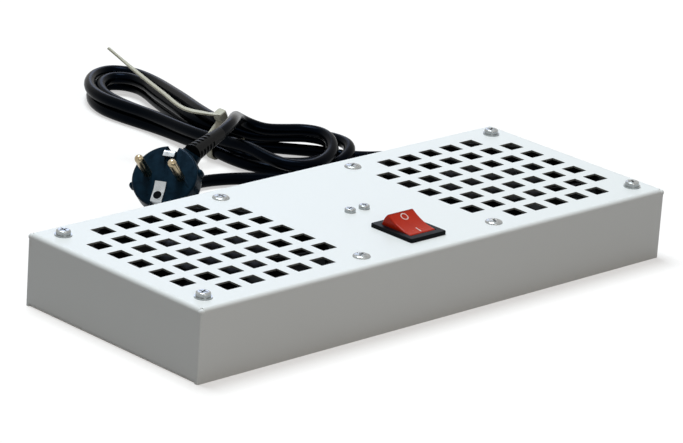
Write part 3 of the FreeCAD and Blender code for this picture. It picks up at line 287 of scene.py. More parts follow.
FINISHES = {
    # polyester powder coat, sprayed and baked: pale neutral grey with a fine orange peel
    "powder_coat": finish("powder_coat", "#E3E3E0", "#E8E8E5", 70, 1.1, 0.016, (0.46, 0.54)),
    # black paint over a die casting: near black and satin, with a faint grain
    "fan_casting": finish("painted_casting", "#040506", "#08090A", 25, 0.7, 0.02, (0.5, 0.65),
                          Specular_IOR_Level=0.05),
    # glass-filled PBT, moulded: near black, dull, with faint flow patches
    "fan_plastic": finish("moulded_pbt", "#030405", "#060708", 18, 0.5, 0.01, (0.42, 0.55),
                          Specular_IOR_Level=0.03),
    # drawn steel, bright: long fine lines down its length
    "steel": finish("drawn_steel", "#8F9090", "#A5A6A5", 6, 0.3, 0.006, (0.25, 0.4), (1, 1, 0.1),
                    Metallic=1.0),
    # enamelled copper wire, wound in layers: red-brown gloss, its 0.2 mm wire drawn as 0.5 to show
    "winding": finish("copper_winding", "#7A3B1B", "#9B5329", 4, 0.5, 0.12, (0.3, 0.42),
                      (0.05, 0.05, 1), Metallic=1.0),
    # zinc plate over cold-headed steel, clear passivated: cool grey, glossy and slightly uneven
    "zinc_plate": finish("zinc_plate", "#8F9394", "#A8ACAD", 1.2, 0.4, 0.010, (0.22, 0.34),
                         Metallic=1.0),
    # natural polyamide, moulded: milky white, semi-matt
    "terminal_nylon": finish("natural_nylon", "#DDDACD", "#E6E3D8", 8, 0.5, 0.012, (0.35, 0.5)),
    # machined brass: warm yellow with fine tool marks
    "brass": finish("machined_brass", "#A98C4C", "#BFA265", 5, 0.3, 0.005, (0.25, 0.38),
                    Metallic=1.0),
    # black polyamide from a finely textured mould: blue-black and dull
    "switch_black": finish("switch_nylon", "#04070A", "#090D11", 12, 0.35, 0.012, (0.36, 0.48),
                           Specular_IOR_Level=0.05),
    # red polycarbonate from a polished mould: glossy, lets light in a little way
    "rocker_red": finish("red_polycarbonate", "#A61A03", "#BA2A08", 7, 1.0, 0.004, (0.2, 0.28),
                         Subsurface_Weight=0.06, Subsurface_Scale=0.001, Specular_IOR_Level=0.12),
    # soft PVC insulation, extruded: black, semi-matt
    "lead_insulation": finish("black_insulation", "#08090A", "#0F1011", 10, 0.6, 0.01, (0.35, 0.48),
                              Specular_IOR_Level=0.08),
    # soft PVC sheath, extruded: blue-black, smooth with long shallow waves
    "cord_sheath": finish("extruded_sheath", "#010203", "#030508", 30, 2.2, 0.02, (0.2, 0.28),
                          Specular_IOR_Level=0.03, Specular_Tint=linear("#93BDFF")),
    # natural nylon of a cable tie, moulded: milky and yellowed, semi-gloss
    "tie_nylon": finish("tie_nylon", "#B2AF9C", "#C6C3B2", 7, 0.6, 0.002, (0.34, 0.46)),
    # PVC moulded round the plug: blue-black, semi-gloss with handling marks
    "plug_plastic": finish("plug_pvc", "#01070D", "#0F2837", 4, 0.9, 0.012, (0.22, 0.4),
                           Specular_IOR_Level=0.06, Specular_Tint=linear("#B4D2FF")),
    # thin nickel plate over turned brass, which shows through it in warm patches
    "plated_contact": finish("plated_brass", "#857456", "#BDB29A", 3.0, 0.4, 0.0015, (0.16, 0.26),
                             Metallic=1.0),
}
# soft PVC in the colours of the cores; the earth's yellow and green is in small patches
INSULATION = {
    "black": FINISHES["lead_insulation"],
    "brown": finish("brown_insulation", "#4A2A1A", "#573322", 10, 0.6, 0.01, (0.35, 0.48)),
    "blue": finish("blue_insulation", "#2A5C92", "#326AA4", 10, 0.6, 0.01, (0.35, 0.48)),
    "green": finish("green_insulation", "#4E8A2E", "#B9B431", 1.6, 0.6, 0.01, (0.35, 0.48)),
}
# bright nickel plate over a rolled strip: cool and glossy
CLIP_PLATE = finish("nickel_strip", "#9DA3A7", "#BCC1C5", 2.5, 0.4, 0.002, (0.22, 0.34),
                    Metallic=1.0)
# white ink, pad printed: thin enough for the red to tint it, semi-matt
MARK_INK = finish("pad_printed_ink", "#D9BDB4", "#E4CDC5", 4, 0.3, 0.004, (0.4, 0.5))


def laid_over(material, share, code):
    """Lays a second colour over a finish by a share from 0 to 1."""
    shader = material.node_tree.nodes["Principled BSDF"]
    coat = shader.inputs["Base Color"].links[0].from_socket
    colour = add(material, "ShaderNodeMix", {"Factor": share}, data_type="RGBA")
    colour.inputs[7].default_value = linear(code)
    material.node_tree.links.new(coat, colour.inputs[6])
    material.node_tree.links.new(colour.outputs[2], shader.inputs["Base Color"])


def shade_hole_walls(material, code):
    """Painted shade on the holes' walls: a darker colour where the place is in HOLE_FIELD on each
    axis.
    """
    coordinates = material.node_tree.nodes["Texture Coordinate"]
    place = add(material, "ShaderNodeSeparateXYZ", {"Vector": coordinates.outputs["Object"]})
    shares = [add(material, "ShaderNodeMath",
                  {0: place.outputs[axis], 1: middle * MM, 2: half * MM},
                  operation="COMPARE").outputs[0] for axis, middle, half in HOLE_FIELD]
    level = add(material, "ShaderNodeMath", {0: shares[0], 1: shares[1]}, operation="MULTIPLY")
    inside = add(material, "ShaderNodeMath", {0: level.outputs[0], 1: shares[2]},
                 operation="MULTIPLY")
    laid_over(material, inside.outputs[0], code)


# painted shade: a dark grey on the walls inside the holes, standing in for their shade
shade_hole_walls(FINISHES["powder_coat"], "#6A6B67")

for subpart in frame["record"]["subparts"]:
    solid = frame["nodes"][subpart["node"]]
    solid.data.materials.clear()
    solid.data.materials.append(FINISHES[subpart["material_slot"]])


# ---- shapes worked out on grids
def skin(rings, loop=False):
    """A tube through rings of equal length, as points, its sides' quads and its ends' triangles.

    It is closed by fans on the middles of its end rings or, as a loop, by joining its last ring
    to its first.
    """
    count, around = rings.shape[:2]
    points = rings.reshape(-1, 3)
    i, j = np.mgrid[0:count if loop else count - 1, 0:around]
    k, n = (j + 1) % around, (i + 1) % count
    sides = np.stack([i * around + j, i * around + k, n * around + k, n * around + j], -1)
    sides = sides.reshape(-1, 4)
    if loop:
        return points, sides, np.empty((0, 3), int)
    edge = np.arange(around)
    after = (edge + 1) % around
    last = (count - 1) * around
    low = np.full(around, count * around)
    ends = np.vstack([np.stack([low, after, edge], 1),
                      np.stack([low + 1, last + edge, last + after], 1)])
    return np.vstack([points, rings[0].mean(0), rings[-1].mean(0)]), sides, ends


def lathe(profile, around=40):
    """Rings round Z, one for each radius and height of the profile."""
    profile = np.asarray(profile, float)
    turn = np.linspace(0, TURN, around, endpoint=False)
    radius, height = profile[:, :1], profile[:, 1:]
    return np.stack([radius * np.cos(turn), radius * np.sin(turn), height + 0 * turn], -1)


def moved(shape, axes, origin):
    """A shape's points turned onto three axes and moved to an origin."""
    points, *faces = shape
    return (points @ np.asarray(axes, float) + np.asarray(origin, float), *faces)


def gathered(shapes):
    """Several shapes as one: their points in a row, each shape's faces counted on from the last."""
    points, sides, ends = zip(*shapes)
    starts = np.cumsum([0] + [len(part) for part in points[:-1]])
    return (np.vstack(points), np.vstack([part + start for part, start in zip(sides, starts)]),
            np.vstack([part + start for part, start in zip(ends, starts)]))


def piece(name, shape, slot, stands_for=(), body="tray", material=None, crease=35.0):
    """A closed mesh from a shape in mm, with outward faces, its finish and the body it rides on."""
    points, sides, ends = shape
    mesh = bpy.data.meshes.new(name)
    mesh.from_pydata((points * MM).tolist(), [], sides.tolist() + ends.tolist())
    shell = bmesh.new()
    shell.from_mesh(mesh)
    bmesh.ops.remove_doubles(shell, verts=shell.verts, dist=1e-7)
    bmesh.ops.dissolve_degenerate(shell, edges=shell.edges, dist=1e-7)
    bmesh.ops.recalc_face_normals(shell, faces=shell.faces)
    shell.to_mesh(mesh)
    shell.free()
    mesh.shade_smooth()
    mesh.set_sharp_from_angle(angle=math.radians(crease))
    made = bpy.data.objects.new(name, mesh)
    bpy.context.scene.collection.objects.link(made)
    dress(made, slot, stands_for, body, material)
    return made


def dress(made, slot, stands_for, body, material):
    """Gives a piece its finish, slot and body, and the solids that it replaces."""
    made.data.materials.append(material or FINISHES[slot])
    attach(made, body)
    if stands_for:
        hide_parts(*stands_for)


def unit(vectors):
    """Each vector divided by its length."""
    vectors = np.asarray(vectors, float)
    return vectors / np.linalg.norm(vectors, axis=-1, keepdims=True)


UPRIGHT = np.eye(3)


# ---- screws
def cross_recess(x, y, half, reach, depth, slope):
    """Depth of a cross recess: a point's margin inside an arm over the slope, up to full depth."""
    one = np.minimum(half - abs(x), reach - abs(y))
    other = np.minimum(half - abs(y), reach - abs(x))
    return depth * np.clip(np.maximum(one, other) / slope, 0, 1)


def screw_shape(radius, head_radius, head_height, fullness, length, pitch):
    """A head over a threaded shank.

    The head's height is its full height times (1 - share of radius ^ fullness) ^ (1 / fullness),
    less the recess. The shank is a zigzag profile of one crest a pitch, turned round Z.
    """
    share = np.sin(np.linspace(math.pi / 2, 0, 60))[:, None]
    turn = np.linspace(0, TURN, 96, endpoint=False)
    x, y = head_radius * share * np.cos(turn), head_radius * share * np.sin(turn)
    dome = head_height * (1 - share ** fullness) ** (1 / fullness) + 0 * turn
    top = dome - cross_recess(x, y, 0.13 * head_radius, 0.58 * head_radius, 0.7 * head_height,
                              0.05 * head_radius)
    head = skin(np.stack([x, y, top], -1))
    crests = np.arange(0.0, length, pitch / 2)
    zigzag = radius - 0.12 * pitch * (1 - (-1.0) ** np.arange(len(crests)))
    shank = skin(lathe(np.stack([zigzag, -crests], 1), 20))
    return gathered([head, shank])


pan_screw = screw_shape(2.0, head_radius=3.75, head_height=2.4, fullness=6.0,
                        length=SCREW_LENGTH, pitch=0.7)
low_screw = screw_shape(2.0, head_radius=4.6, head_height=1.5, fullness=2.4,
                        length=SCREW_LENGTH, pitch=0.7)
small_screw = screw_shape(1.5, head_radius=2.9, head_height=2.2, fullness=6.0,
                          length=BLOCK_SCREW_LENGTH, pitch=0.5)
outer_places = [(x, y, TRAY_TOP + WASHER)
                for x in FAN_SCREW_X[::3] for y in (-FAN_SCREW_Y, FAN_SCREW_Y)]
inner_places = [(x, y, TRAY_TOP) for x in FAN_SCREW_X[1:3] for y in (-FAN_SCREW_Y, FAN_SCREW_Y)]


def turned_screws(shape, places):
    """One screw at each place, each stopped at its own angle."""
    made = []
    for number, place in enumerate(places):
        angle = 0.4 + 1.1 * number
        cos, sin = math.cos(angle), math.sin(angle)
        made.append(moved(shape, ((cos, sin, 0), (-sin, cos, 0), (0, 0, 1)), place))
    return gathered(made)


piece("pan_head_screws", turned_screws(pan_screw, outer_places), "zinc_plate", ["corner_screws"])
piece("domed_screws", turned_screws(low_screw, inner_places), "zinc_plate", ["inner_screws"])
piece("block_head_screws", turned_screws(small_screw, [(x, y, TRAY_TOP) for x, y in BLOCK_SCREWS]),
      "zinc_plate", ["block_screws"])


# ---- beads of weld and paint in the tray's top corners, each half a circle turned round Z
bead_bend = np.linspace(-math.pi / 2, math.pi / 2, 16)
bead = skin(lathe(BEAD * np.stack([np.cos(bead_bend), np.sin(bead_bend)], 1), 32))
beads = [moved(bead, UPRIGHT, BEAD_PLACE * (x, y, 1)) for x in (-1, 1) for y in (-1, 1)]
piece("corner_beads", gathered(beads), "powder_coat")


# ---- rocker
TILTED = np.array(((1, 0, 0), (0, math.cos(ROCKER_TILT), math.sin(ROCKER_TILT)),
                   (0, -math.sin(ROCKER_TILT), math.cos(ROCKER_TILT))))
ROCKER_EDGE = math.sqrt(ROCKER_REACH ** 2 - ROCKER_RISE ** 2)


def rocker_top(y):
    """Height of the dished top above the pivot: a parabola, deepest in the middle."""
    return ROCKER_RISE - ROCKER_DISH * (1 - (y / ROCKER_EDGE) ** 2)


def rocker_shape():
    """An outline in Y and Z carried along X: dished top, end arcs about the pivot, flat skirt."""
    skirt = math.sqrt(ROCKER_REACH ** 2 - ROCKER_SKIRT ** 2)
    top_y = np.linspace(-ROCKER_EDGE, ROCKER_EDGE, 25)
    bend = np.linspace(math.atan2(ROCKER_RISE, ROCKER_EDGE),
                       -math.atan2(ROCKER_SKIRT, skirt), 12)[1:]
    right = ROCKER_REACH * np.stack([np.cos(bend), np.sin(bend)], 1)
    left = right[::-1] * (-1, 1)
    outline = np.vstack([np.stack([top_y, rocker_top(top_y)], 1), right, left])
    half = ROCKER_WIDTH / 2
    stations = (-half, EDGE_BAND - half, half - EDGE_BAND, half)
    return skin(np.stack([np.column_stack([np.full(len(outline), x), outline]) for x in stations]))


def shade_edges(made, code):
    """Paints shade along the paddle's raised ridge, where its clear red is thickest, as a darker red.

    The attribute is 1 on the ridge and falls to 0 over EDGE_BAND, by the distance in the outline's
    plane, and is 0 on the paddle's sides.
    """
    mesh = made.data
    points = np.empty(3 * len(mesh.vertices))
    mesh.vertices.foreach_get("co", points)
    flat = (points.reshape(-1, 3) / MM - SWITCH) @ TILTED.T
    reach = 1 - np.hypot(flat[:, 1] - ROCKER_EDGE, flat[:, 2] - ROCKER_RISE) / EDGE_BAND
    reach *= abs(flat[:, 0]) < (ROCKER_WIDTH - EDGE_BAND) / 2
    # the share of painted shade: 1 on the ridge, 0 away from it
    thickness = mesh.attributes.new("thickness", "FLOAT", "POINT")
    thickness.data.foreach_set("value", np.clip(reach, 0, 1))
    share = add(mesh.materials[0], "ShaderNodeAttribute", {}, attribute_name="thickness")
    laid_over(mesh.materials[0], share.outputs["Fac"], code)


paddle = piece("rocker_paddle", moved(rocker_shape(), TILTED, SWITCH), "rocker_red", ["rocker"],
               "rocker")
# painted shade: a dark red along the paddle's ridge
shade_edges(paddle, "#3A0602")
rounding = paddle.modifiers.new("rounded_edges", "BEVEL")
rounding.width = ROCKER_ROUNDING * MM
rounding.segments = 3
rounding.limit_method = "ANGLE"
rounding.angle_limit = math.radians(40)


def ring_mark(middle, inner, outer):
    """A printed ring on the dished top: a section of four corners carried round a circle."""
    turn = np.linspace(0, TURN, 48, endpoint=False)[:, None]
    reach = np.array((outer, inner, inner, outer))
    lift = np.array((INK, INK, -INK, -INK))
    x, y = reach * np.cos(turn), middle + reach * np.sin(turn)
    return skin(np.stack([x, y, rocker_top(y) + lift], -1), loop=True)


def bar_mark(low, high, half):
    """A printed bar on the dished top: a section of four corners carried along Y."""
    y = np.linspace(low, high, 12)[:, None]
    x = np.array((half, -half, -half, half)) + 0 * y
    lift = np.array((INK, INK, -INK, -INK))
    return skin(np.stack([x, y + 0 * x, rocker_top(y) + lift], -1))


for name, mark in (("mark_ring", ring_mark(middle=5.4, inner=1.7, outer=2.25)),
                   ("mark_bar", bar_mark(low=-7.8, high=-3.8, half=0.3))):
    piece(name, moved(mark, TILTED, SWITCH), "rocker_red", (), "rocker", MARK_INK)


# ---- bush and strain relief
def segmented(start, end, start_radius, end_radius, spine, ribs, notch, ribbed):
    """A tapered sleeve with notches cut in from two sides over its ribbed share, and smooth beyond.

    The radius falls evenly from start to end, less the notch's depth times how far the place is
    into one of the evenly spaced gaps, times how far it is from the two spines that join the ribs.
    """
    along = unit(end - start)
    up = unit(spine - along * np.dot(spine, along))
    share = np.linspace(0, 1, round(ribs / ribbed) * 16 + 1)[:, None]
    turn = np.linspace(0, TURN, 48, endpoint=False)
    phase = share / ribbed * ribs % 1
    gap = np.clip((0.24 - abs(phase - 0.55)) / 0.05, 0, 1) * (share < ribbed)
    away = np.clip((abs(np.sin(turn)) - 0.42) / 0.12, 0, 1)
    radius = start_radius + (end_radius - start_radius) * share - notch * gap * away
    height = share * np.linalg.norm(end - start) + 0 * turn
    rings = np.stack([radius * np.cos(turn), radius * np.sin(turn), height], -1)
    return moved(skin(rings), (up, np.cross(along, up), along), start)


relief = piece("strain_relief",
               segmented(RELIEF_ROOT, RELIEF_END, start_radius=5.3, end_radius=3.6,
                         spine=RELIEF_SPINE, ribs=5, notch=1.5, ribbed=0.6),
               "plug_plastic", ["cord_relief"], material=FINISHES["lead_insulation"])
BACKWARD = ((0, 0, 1), (1, 0, 0), (0, 1, 0))
bush_tail = segmented(BUSH + (0, BUSH_FLANGE, 0), BUSH + (0, BUSH_FLANGE + BUSH_TAIL, 0),
                      start_radius=5.9, end_radius=4.4, spine=UPRIGHT[2], ribs=5, notch=1.6,
                      ribbed=1.0)
bush = gathered([moved(skin(lathe(BUSH_PROFILE, 56)), BACKWARD, BUSH), bush_tail])
piece("lead_bush", bush, "plug_plastic", ["cord_bush"])


# ---- plug
facing = unit(PLUG_FACING)
spread = unit(PLUG_SPREAD - facing * np.dot(PLUG_SPREAD, facing))
PLUG_AXES = np.stack([spread, np.cross(facing, spread), facing])


def plug_outline(radius, slotted):
    """For each radius a circle with a straight-sided slot at top and bottom, or the full circle.

    Both have the same number of points: two arcs of 41, and two points on each slot's floor.
    """
    limit = math.pi / 2 - np.arcsin(SLOT_HALF / radius)
    arc = limit[:, None] * np.linspace(-1, 1, 41)
    side = radius[:, None, None] * np.stack([np.cos(arc), np.sin(arc)], -1)
    half = np.arcsin(0.5 * SLOT_HALF / radius)
    x = np.where(slotted, SLOT_HALF, radius * np.sin(half))
    y = np.where(slotted, SLOT_FLOOR, radius * np.cos(half))
    across = np.stack([np.stack([x, y], -1), np.stack([-x, y], -1)], 1)
    return np.concatenate([side, across, -side, -across], 1)


def plug_rings():
    """The slotted rim from its rounded face edge back to the slots' floors, then the full round
    tapering off: its radius falls with its share of the depth ^ 1.4.

    Each row of the table is a radius, a height above the face and 1 where the slots are.
    """
    ease = np.linspace(0, math.pi / 2, 6)
    edge = np.stack([PLUG_RADIUS - FACE_EDGE * (1 - np.sin(ease)), -FACE_EDGE * (1 - np.cos(ease)),
                     np.ones(6)], 1)
    rim = ((PLUG_RADIUS, -SLOT_DEPTH, 1), (PLUG_RADIUS, -SLOT_DEPTH, 0),
           (PLUG_RADIUS, -PLUG_RIM, 0))
    share = np.linspace(0, 1, 9)[1:]
    back = np.stack([PLUG_RADIUS + (PLUG_BACK_RADIUS - PLUG_RADIUS) * share ** 1.4,
                     -PLUG_RIM - (PLUG_DEPTH - BACK_EDGE - PLUG_RIM) * share, 0 * share], 1)
    tail = np.stack([PLUG_BACK_RADIUS - BACK_EDGE * (1 - np.cos(ease)),
                     -PLUG_DEPTH + BACK_EDGE * (1 - np.sin(ease)), 0 * ease], 1)[1:]
    radius, height, slotted = np.vstack([edge, rim, back, tail]).T
    outline = plug_outline(radius, slotted > 0)
    return np.concatenate([outline, height[:, None, None] + 0 * outline[..., :1]], -1)


def bar_on_face(start, end, width, height):
    """A thin raised bar from start to end on the plug's face: a half round, whose width and height
    are drawn in at both ends by (1 - place ^ 8) ^ 0.5, with the place running from -1 to 1.
    """
    start, end = np.array(start), np.array(end)
    side = unit(end - start)[::-1] * (-1, 1)
    bend = np.linspace(0, math.pi, 9)
    share = np.linspace(0.003, 0.997, 12)[:, None]
    scale = np.sqrt(1 - (2 * share - 1) ** 8)
    middle = start + (end - start) * share
    flat = middle[:, None] - 0.5 * width * side * (scale * np.cos(bend))[..., None]
    return skin(np.concatenate([flat, (height * scale * np.sin(bend) - 0.05)[..., None]], -1))


inside = PLUG_CENTRE - facing * NECK_DEPTH
neck_along = RELIEF_ROOT - inside
neck_length = np.linalg.norm(neck_along)
neck_axis = neck_along / neck_length
neck_side = unit(np.cross(neck_axis, facing))
share = np.linspace(0, 1, 20)
neck_radius = NECK_RADIUS + NECK_SPREAD * (1 - share) ** 2
neck = moved(skin(lathe(np.stack([neck_radius, share * (neck_length + 0.4)], 1), 48)),
             (neck_side, np.cross(neck_axis, neck_side), neck_axis), inside)
grip_place = GRIP_PLACE @ PLUG_AXES[:2]
grips = [moved(skin(lathe(GRIP_PROFILE, 20)), PLUG_AXES,
               PLUG_CENTRE + side * grip_place - GRIP_DEPTH * facing) for side in (-1, 1)]
bars = [moved(bar_on_face(start, end, *FACE_BAR), PLUG_AXES, PLUG_CENTRE)
        for start, end in FACE_BARS]
plug = piece("plug_moulding",
             gathered([moved(skin(plug_rings()), PLUG_AXES, PLUG_CENTRE), neck, *grips, *bars]),
             "plug_plastic", ["plug_body"], crease=30.0)

pin_bend = np.linspace(0, math.pi / 2, 10)
pin_profile = np.vstack([[(0.0, -2.0), (PIN_RADIUS, -2.0)],
                         np.stack([PIN_RADIUS * np.cos(pin_bend),
                                   PIN_LENGTH - PIN_RADIUS + PIN_RADIUS * np.sin(pin_bend)], 1)])
pin = skin(lathe(pin_profile, 48))
pin_pair = [moved(pin, PLUG_AXES, PLUG_CENTRE + side * PIN_OFFSET * spread) for side in (-1, 1)]
pins = piece("plug_contacts", gathered(pin_pair), "plated_contact", ["plug_pins"])


def strip(line, half, thickness):
    """A flat strip whose middle follows a line in the plug's Y and Z: four corners carried along
    the line, half to each side of it in X and half the thickness along its normal.
    """
    ahead = unit(np.gradient(line, axis=0))
    normal = np.stack([-ahead[:, 1], ahead[:, 0]], 1) * thickness / 2
    return skin(np.stack([np.column_stack([np.full(len(line), x), line + out * normal])
                          for x, out in ((half, 1), (-half, 1), (-half, -1), (half, -1))], 1))


def rounded_line(corners, radius):
    """A line through corners, with each corner replaced by a bend of seven points.

    The bend is (1 - t)^2 of its start, 2 t (1 - t) of the corner and t^2 of its end, as t runs
    from 0 to 1.
    """
    corners = np.array(corners, float)
    before, here, after = corners[:-2], corners[1:-1], corners[2:]
    start, end = here + unit(before - here) * radius, here + unit(after - here) * radius
    t = np.linspace(0, 1, 7)[:, None, None]
    bends = (1 - t) ** 2 * start + 2 * t * (1 - t) * here + t * t * end
    return np.vstack([corners[:1], bends.swapaxes(0, 1).reshape(-1, 2), corners[-1:]])


def eyelet(radius, outer, thickness):
    """The rim of a punched hole: a section of four corners carried round a circle."""
    turn = np.linspace(0, TURN, 40, endpoint=False)[:, None]
    reach = np.array((outer, radius, radius, outer))
    height = np.array((1, 1, -1, -1)) * thickness / 2
    rings = np.stack([reach * np.cos(turn), reach * np.sin(turn), height + 0 * turn], -1)
    return skin(rings, loop=True)


LOWER_CLIP = ((-4.3, 1.6), (-8.4, CLIP / 2), (-CLIP_REACH, CLIP / 2), (-CLIP_REACH, -SLOT_DEPTH))
UPPER_CLIP = ((10.4, 1.9), (CLIP_RADIUS - 0.3, 1.9), (CLIP_RADIUS - 0.3, -SLOT_DEPTH))
lower_clip = strip(rounded_line(LOWER_CLIP, CLIP_BEND), CLIP_HALF, CLIP)
upper_clip = strip(rounded_line(UPPER_CLIP, CLIP_BEND), CLIP_HALF, CLIP_FOLDED)
hole_rim = moved(eyelet(*EYELET), UPRIGHT, (0, -CLIP_HOLE, CLIP + 0.05))
contacts = piece("earth_contacts",
                 moved(gathered([lower_clip, upper_clip, hole_rim]), PLUG_AXES, PLUG_CENTRE),
                 "plated_contact", ["plug_earth_clips"], material=CLIP_PLATE)
# painted shade: a dark disc in the clip's hole, standing in for the shade down in it
HOLE_SHADE_PROFILE = ((0.0, CLIP + 0.02), (EYELET[0], CLIP + 0.02), (EYELET[0], CLIP - 0.1),
                (0.0, CLIP - 0.1))
hole_shade = moved(skin(lathe(HOLE_SHADE_PROFILE, 40)), UPRIGHT, (0, -CLIP_HOLE, 0))
contact_hole_shade = piece("contact_hole_shade", moved(hole_shade, PLUG_AXES, PLUG_CENTRE), "plug_plastic", (),
                     material=FINISHES["fan_plastic"])


# ---- cable tie
def smooth_line(points, count):
    """A smooth line through points: cubic pieces. A point's slope is half the step across it."""
    points = np.array(points, float)
    slope = np.gradient(points, axis=0)
    place = np.linspace(0, len(points) - 1 - 1e-9, count)
    first = place.astype(int)
    t = (place - first)[:, None]
    a, b, c, d = points[first], points[first + 1], slope[first], slope[first + 1]
    return ((2 * t ** 3 - 3 * t ** 2 + 1) * a + (t ** 3 - 2 * t ** 2 + t) * c
            + (3 * t ** 2 - 2 * t ** 3) * b + (t ** 3 - t ** 2) * d)


def squared(wave, power):
    """A sine or cosine with its size raised to a power below 1, which squares a circle up."""
    return np.sign(wave) * abs(wave) ** power


def band_section(half, thickness):
    """The section of a tie: a rectangle with rounded corners, as sideways and outward steps."""
    turn = np.linspace(0, TURN, 20, endpoint=False) + TURN / 40
    return squared(np.cos(turn), 0.4) * half, squared(np.sin(turn), 0.4) * thickness / 2


def tie_band():
    """A loop in the tie's plane: in each direction it touches the strand that lies furthest out."""
    strands = np.array(TIED_STRANDS)
    turn = np.linspace(0, TURN, 120, endpoint=False)
    out = np.stack([np.cos(turn), np.sin(turn)], 1)
    touched = strands[np.argmax(out @ strands.T, axis=1)]
    line = touched + out * (CORD_RADIUS + TIE / 2)
    sideways, outward = band_section(TIE_WIDTH / 2, TIE)
    flat = line[:, None] + out[:, None] * outward[None, :, None]
    rings = np.stack([flat[..., 0], TIE_Y + sideways + 0 * flat[..., 0], flat[..., 1]], -1)
    return skin(rings, loop=True)


def tie_tail():
    """The free end: a ribbon along a smooth line that turns on edge and narrows to a rounded tip.

    Its width lies along Y at the head and swings to the direction TAIL_WIDTH over the first third.
    """
    line = smooth_line(TIE_TAIL, 80)
    ahead = unit(np.gradient(line, axis=0))
    swing = np.clip(np.linspace(0, 3, len(line)), 0, 1)[:, None]
    side = (1 - swing) * np.array((0.0, 1.0, 0.0)) + swing * unit(TAIL_WIDTH)
    side = unit(side - ahead * np.sum(side * ahead, axis=1)[:, None])
    out = np.cross(side, ahead)
    share = np.linspace(0, 1, len(line))
    width = np.clip((1 - share) / 0.2, 0.35, 1) ** 0.6
    sideways, outward = band_section(TIE_WIDTH / 2, TIE)
    across = side[:, None] * (width[:, None] * sideways)[..., None]
    return skin(line[:, None] + across + out[:, None] * outward[:, None])


def tie_head():
    """A block with bulging sides: each level is a superellipse, drawn in at its top and bottom."""
    level = np.linspace(-1, 1, 17)[:, None]
    turn = np.linspace(0, TURN, 40, endpoint=False)
    draw = (1 - abs(level) ** 6) ** 0.25 + 0.001
    x, y = draw * squared(np.cos(turn), 0.45), draw * squared(np.sin(turn), 0.45)
    return skin(np.stack([x, y, level + 0 * turn], -1) * TIE_HEAD_HALF)


lean_cos, lean_sin = math.cos(TIE_HEAD_LEAN), math.sin(TIE_HEAD_LEAN)
HEAD_AXES = ((lean_cos, 0, -lean_sin), (0, 1, 0), (lean_sin, 0, lean_cos))
piece("nylon_tie", gathered([tie_band(), tie_tail(), moved(tie_head(), HEAD_AXES, TIE_HEAD)]),
      "tie_nylon", ["cable_tie"])


# ---- cord and wires
def bar_along(name, routes, radius, slot, stands_for, material=None):
    """A round bar along each route: an open NURBS line of order 3 through its ends."""
    curve = bpy.data.curves.new(name, "CURVE")
    curve.dimensions = "3D"
    curve.bevel_depth = radius * MM
    curve.bevel_resolution = 7
    curve.use_fill_caps = True
    for route in routes:
        line = curve.splines.new("NURBS")
        line.points.add(len(route) - 1)
        weighted = np.column_stack([np.array(route) * MM, np.ones(len(route))])
        line.points.foreach_set("co", weighted.ravel())
        line.order_u = 3
        line.use_endpoint_u = True
        line.resolution_u = 10
    made = bpy.data.objects.new(name, curve)
    bpy.context.scene.collection.objects.link(made)
    dress(made, slot, stands_for, "tray", material)
    return made


lead = bar_along("mains_lead", [LEAD_OUT + FIRST_TURN + SECOND_TURN + THIRD_TURN + TO_PLUG],
                 CORD_RADIUS, "cord_sheath", ["mains_cord", "cord_tail", "cord_hank"])
bar_along("sheath_inside", [SHEATH_INSIDE], CORD_RADIUS, "cord_sheath", ["mains_inner"])
for name, (node, colour, routes) in WIRES.items():
    bar_along(name, routes, WIRE_RADIUS, "lead_insulation", [node], INSULATION[colour])


# ---- floor, light and camera
def seen_direct(material):
    """1 for rays from the camera and from glossy or clear surfaces, else 0."""
    ray = add(material, "ShaderNodeLightPath", {})
    glossy = add(material, "ShaderNodeMath",
                 {0: ray.outputs["Is Camera Ray"], 1: ray.outputs["Is Glossy Ray"]},
                 operation="MAXIMUM")
    clear = add(material, "ShaderNodeMath",
                {0: glossy.outputs[0], 1: ray.outputs["Is Transmission Ray"]},
                operation="MAXIMUM")
    return clear.outputs[0]


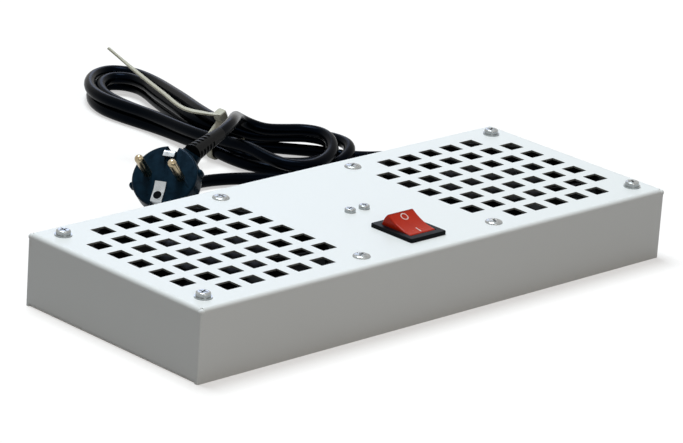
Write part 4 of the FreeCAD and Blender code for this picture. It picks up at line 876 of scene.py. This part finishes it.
def floor():
    """A wide pale floor with the object's shadow on it, near white where it is seen direct.

    Its own glow hides half of the shadow, rises to white with the distance from the object, and
    stops under the tray. What the floor gives back to the object is a soft grey. From below it is
    clear, and under the tray it lets the light of a lamp below pass up into the open underside.
    """
    mesh = bpy.data.meshes.new("floor")
    corners = FLOOR_REACH * np.array(((-1, -1, 0), (1, -1, 0), (1, 1, 0), (-1, 1, 0)))
    mesh.from_pydata(corners.tolist(), [], [(0, 1, 2, 3)])
    made = bpy.data.objects.new("floor", mesh)
    bpy.context.scene.collection.objects.link(made)
    paper = bpy.data.materials.new("floor_paper")
    paper.use_nodes = True
    nodes, link = paper.node_tree.nodes, paper.node_tree.links.new
    direct = seen_direct(paper)
    colour = add(paper, "ShaderNodeMix", {"Factor": direct}, data_type="RGBA")
    colour.inputs[6].default_value = linear(FLOOR_GIVEN_BACK)
    colour.inputs[7].default_value = linear(FLOOR_SEEN)
    place = add(paper, "ShaderNodeTexCoord", {})
    away = add(paper, "ShaderNodeVectorMath", {0: place.outputs["Object"]}, operation="LENGTH")
    rise = add(paper, "ShaderNodeMapRange",
               {"Value": away.outputs["Value"], "From Min": GLOW_RISE[0], "From Max": GLOW_RISE[1],
                "To Min": GLOW[0], "To Max": GLOW[1]})
    flat = add(paper, "ShaderNodeSeparateXYZ", {"Vector": place.outputs["Object"]})
    along = add(paper, "ShaderNodeMath", {0: flat.outputs["X"], 1: 0.0, 2: (WALL_X - 1) * MM},
                operation="COMPARE")
    across = add(paper, "ShaderNodeMath", {0: flat.outputs["Y"], 1: 0.0, 2: (WALL_Y - 1) * MM},
                 operation="COMPARE")
    under = add(paper, "ShaderNodeMath", {0: along.outputs[0], 1: across.outputs[0]},
                operation="MULTIPLY")
    clear = add(paper, "ShaderNodeMath", {0: direct, 1: under.outputs[0]}, operation="SUBTRACT",
                use_clamp=True)
    glow = add(paper, "ShaderNodeMath", {0: clear.outputs[0], 1: rise.outputs["Result"]},
               operation="MULTIPLY")
    shader = nodes["Principled BSDF"]
    shader.inputs["Roughness"].default_value = 0.9
    shader.inputs["Specular IOR Level"].default_value = 0.0
    shader.inputs["Emission Color"].default_value = linear("#FFFFFF")
    link(colour.outputs[2], shader.inputs["Base Color"])
    link(glow.outputs[0], shader.inputs["Emission Strength"])
    side = add(paper, "ShaderNodeNewGeometry", {})
    empty = add(paper, "ShaderNodeBsdfTransparent", {})
    path = add(paper, "ShaderNodeLightPath", {})
    passing = add(paper, "ShaderNodeMath", {0: path.outputs["Is Shadow Ray"], 1: under.outputs[0]},
                  operation="MULTIPLY")
    see_through = add(paper, "ShaderNodeMath",
                      {0: side.outputs["Backfacing"], 1: passing.outputs[0]}, operation="MAXIMUM")
    mix = add(paper, "ShaderNodeMixShader",
              {0: see_through.outputs[0], 1: shader.outputs["BSDF"], 2: empty.outputs["BSDF"]})
    link(mix.outputs[0], nodes["Material Output"].inputs["Surface"])
    made.data.materials.append(paper)


def softbox(name, place, aim, size, watts, colour):
    """A square area lamp at a place, pointed at an aim."""
    lamp = bpy.data.lights.new(name, "AREA")
    lamp.size = size
    lamp.energy = watts
    lamp.color = linear(colour)[:3]
    made = bpy.data.objects.new(name, lamp)
    bpy.context.scene.collection.objects.link(made)
    back = unit(np.array(place) - np.array(aim))
    right = unit(np.cross((0.02, 1.0, 0.0), back))
    axes = np.column_stack([right, np.cross(back, right), back])
    made.matrix_world = Matrix([[*axes[i], place[i]] for i in range(3)] + [[0, 0, 0, 1]])


def sky():
    """A dim even world that is white where it is seen direct."""
    world = bpy.data.worlds.new("studio")
    bpy.context.scene.world = world
    world.use_nodes = True
    level = add(world, "ShaderNodeMapRange",
                {"Value": seen_direct(world), "To Min": WORLD[0], "To Max": WORLD[1]})
    background = world.node_tree.nodes["Background"]
    world.node_tree.links.new(level.outputs["Result"], background.inputs["Strength"])
    background.inputs["Color"].default_value = linear("#FFFCF8")


floor()
sky()
for lamp in LAMPS:
    softbox(*lamp)

camera = bpy.data.objects.new("camera", bpy.data.cameras.new("camera"))
bpy.context.scene.collection.objects.link(camera)
camera.data.lens = LENS
camera.data.sensor_width = SENSOR
camera.data.clip_end = 20.0
camera.matrix_world = Matrix(CAMERA_VIEW)
bpy.context.scene.camera = camera
bpy.context.scene.view_settings.view_transform = "Standard"
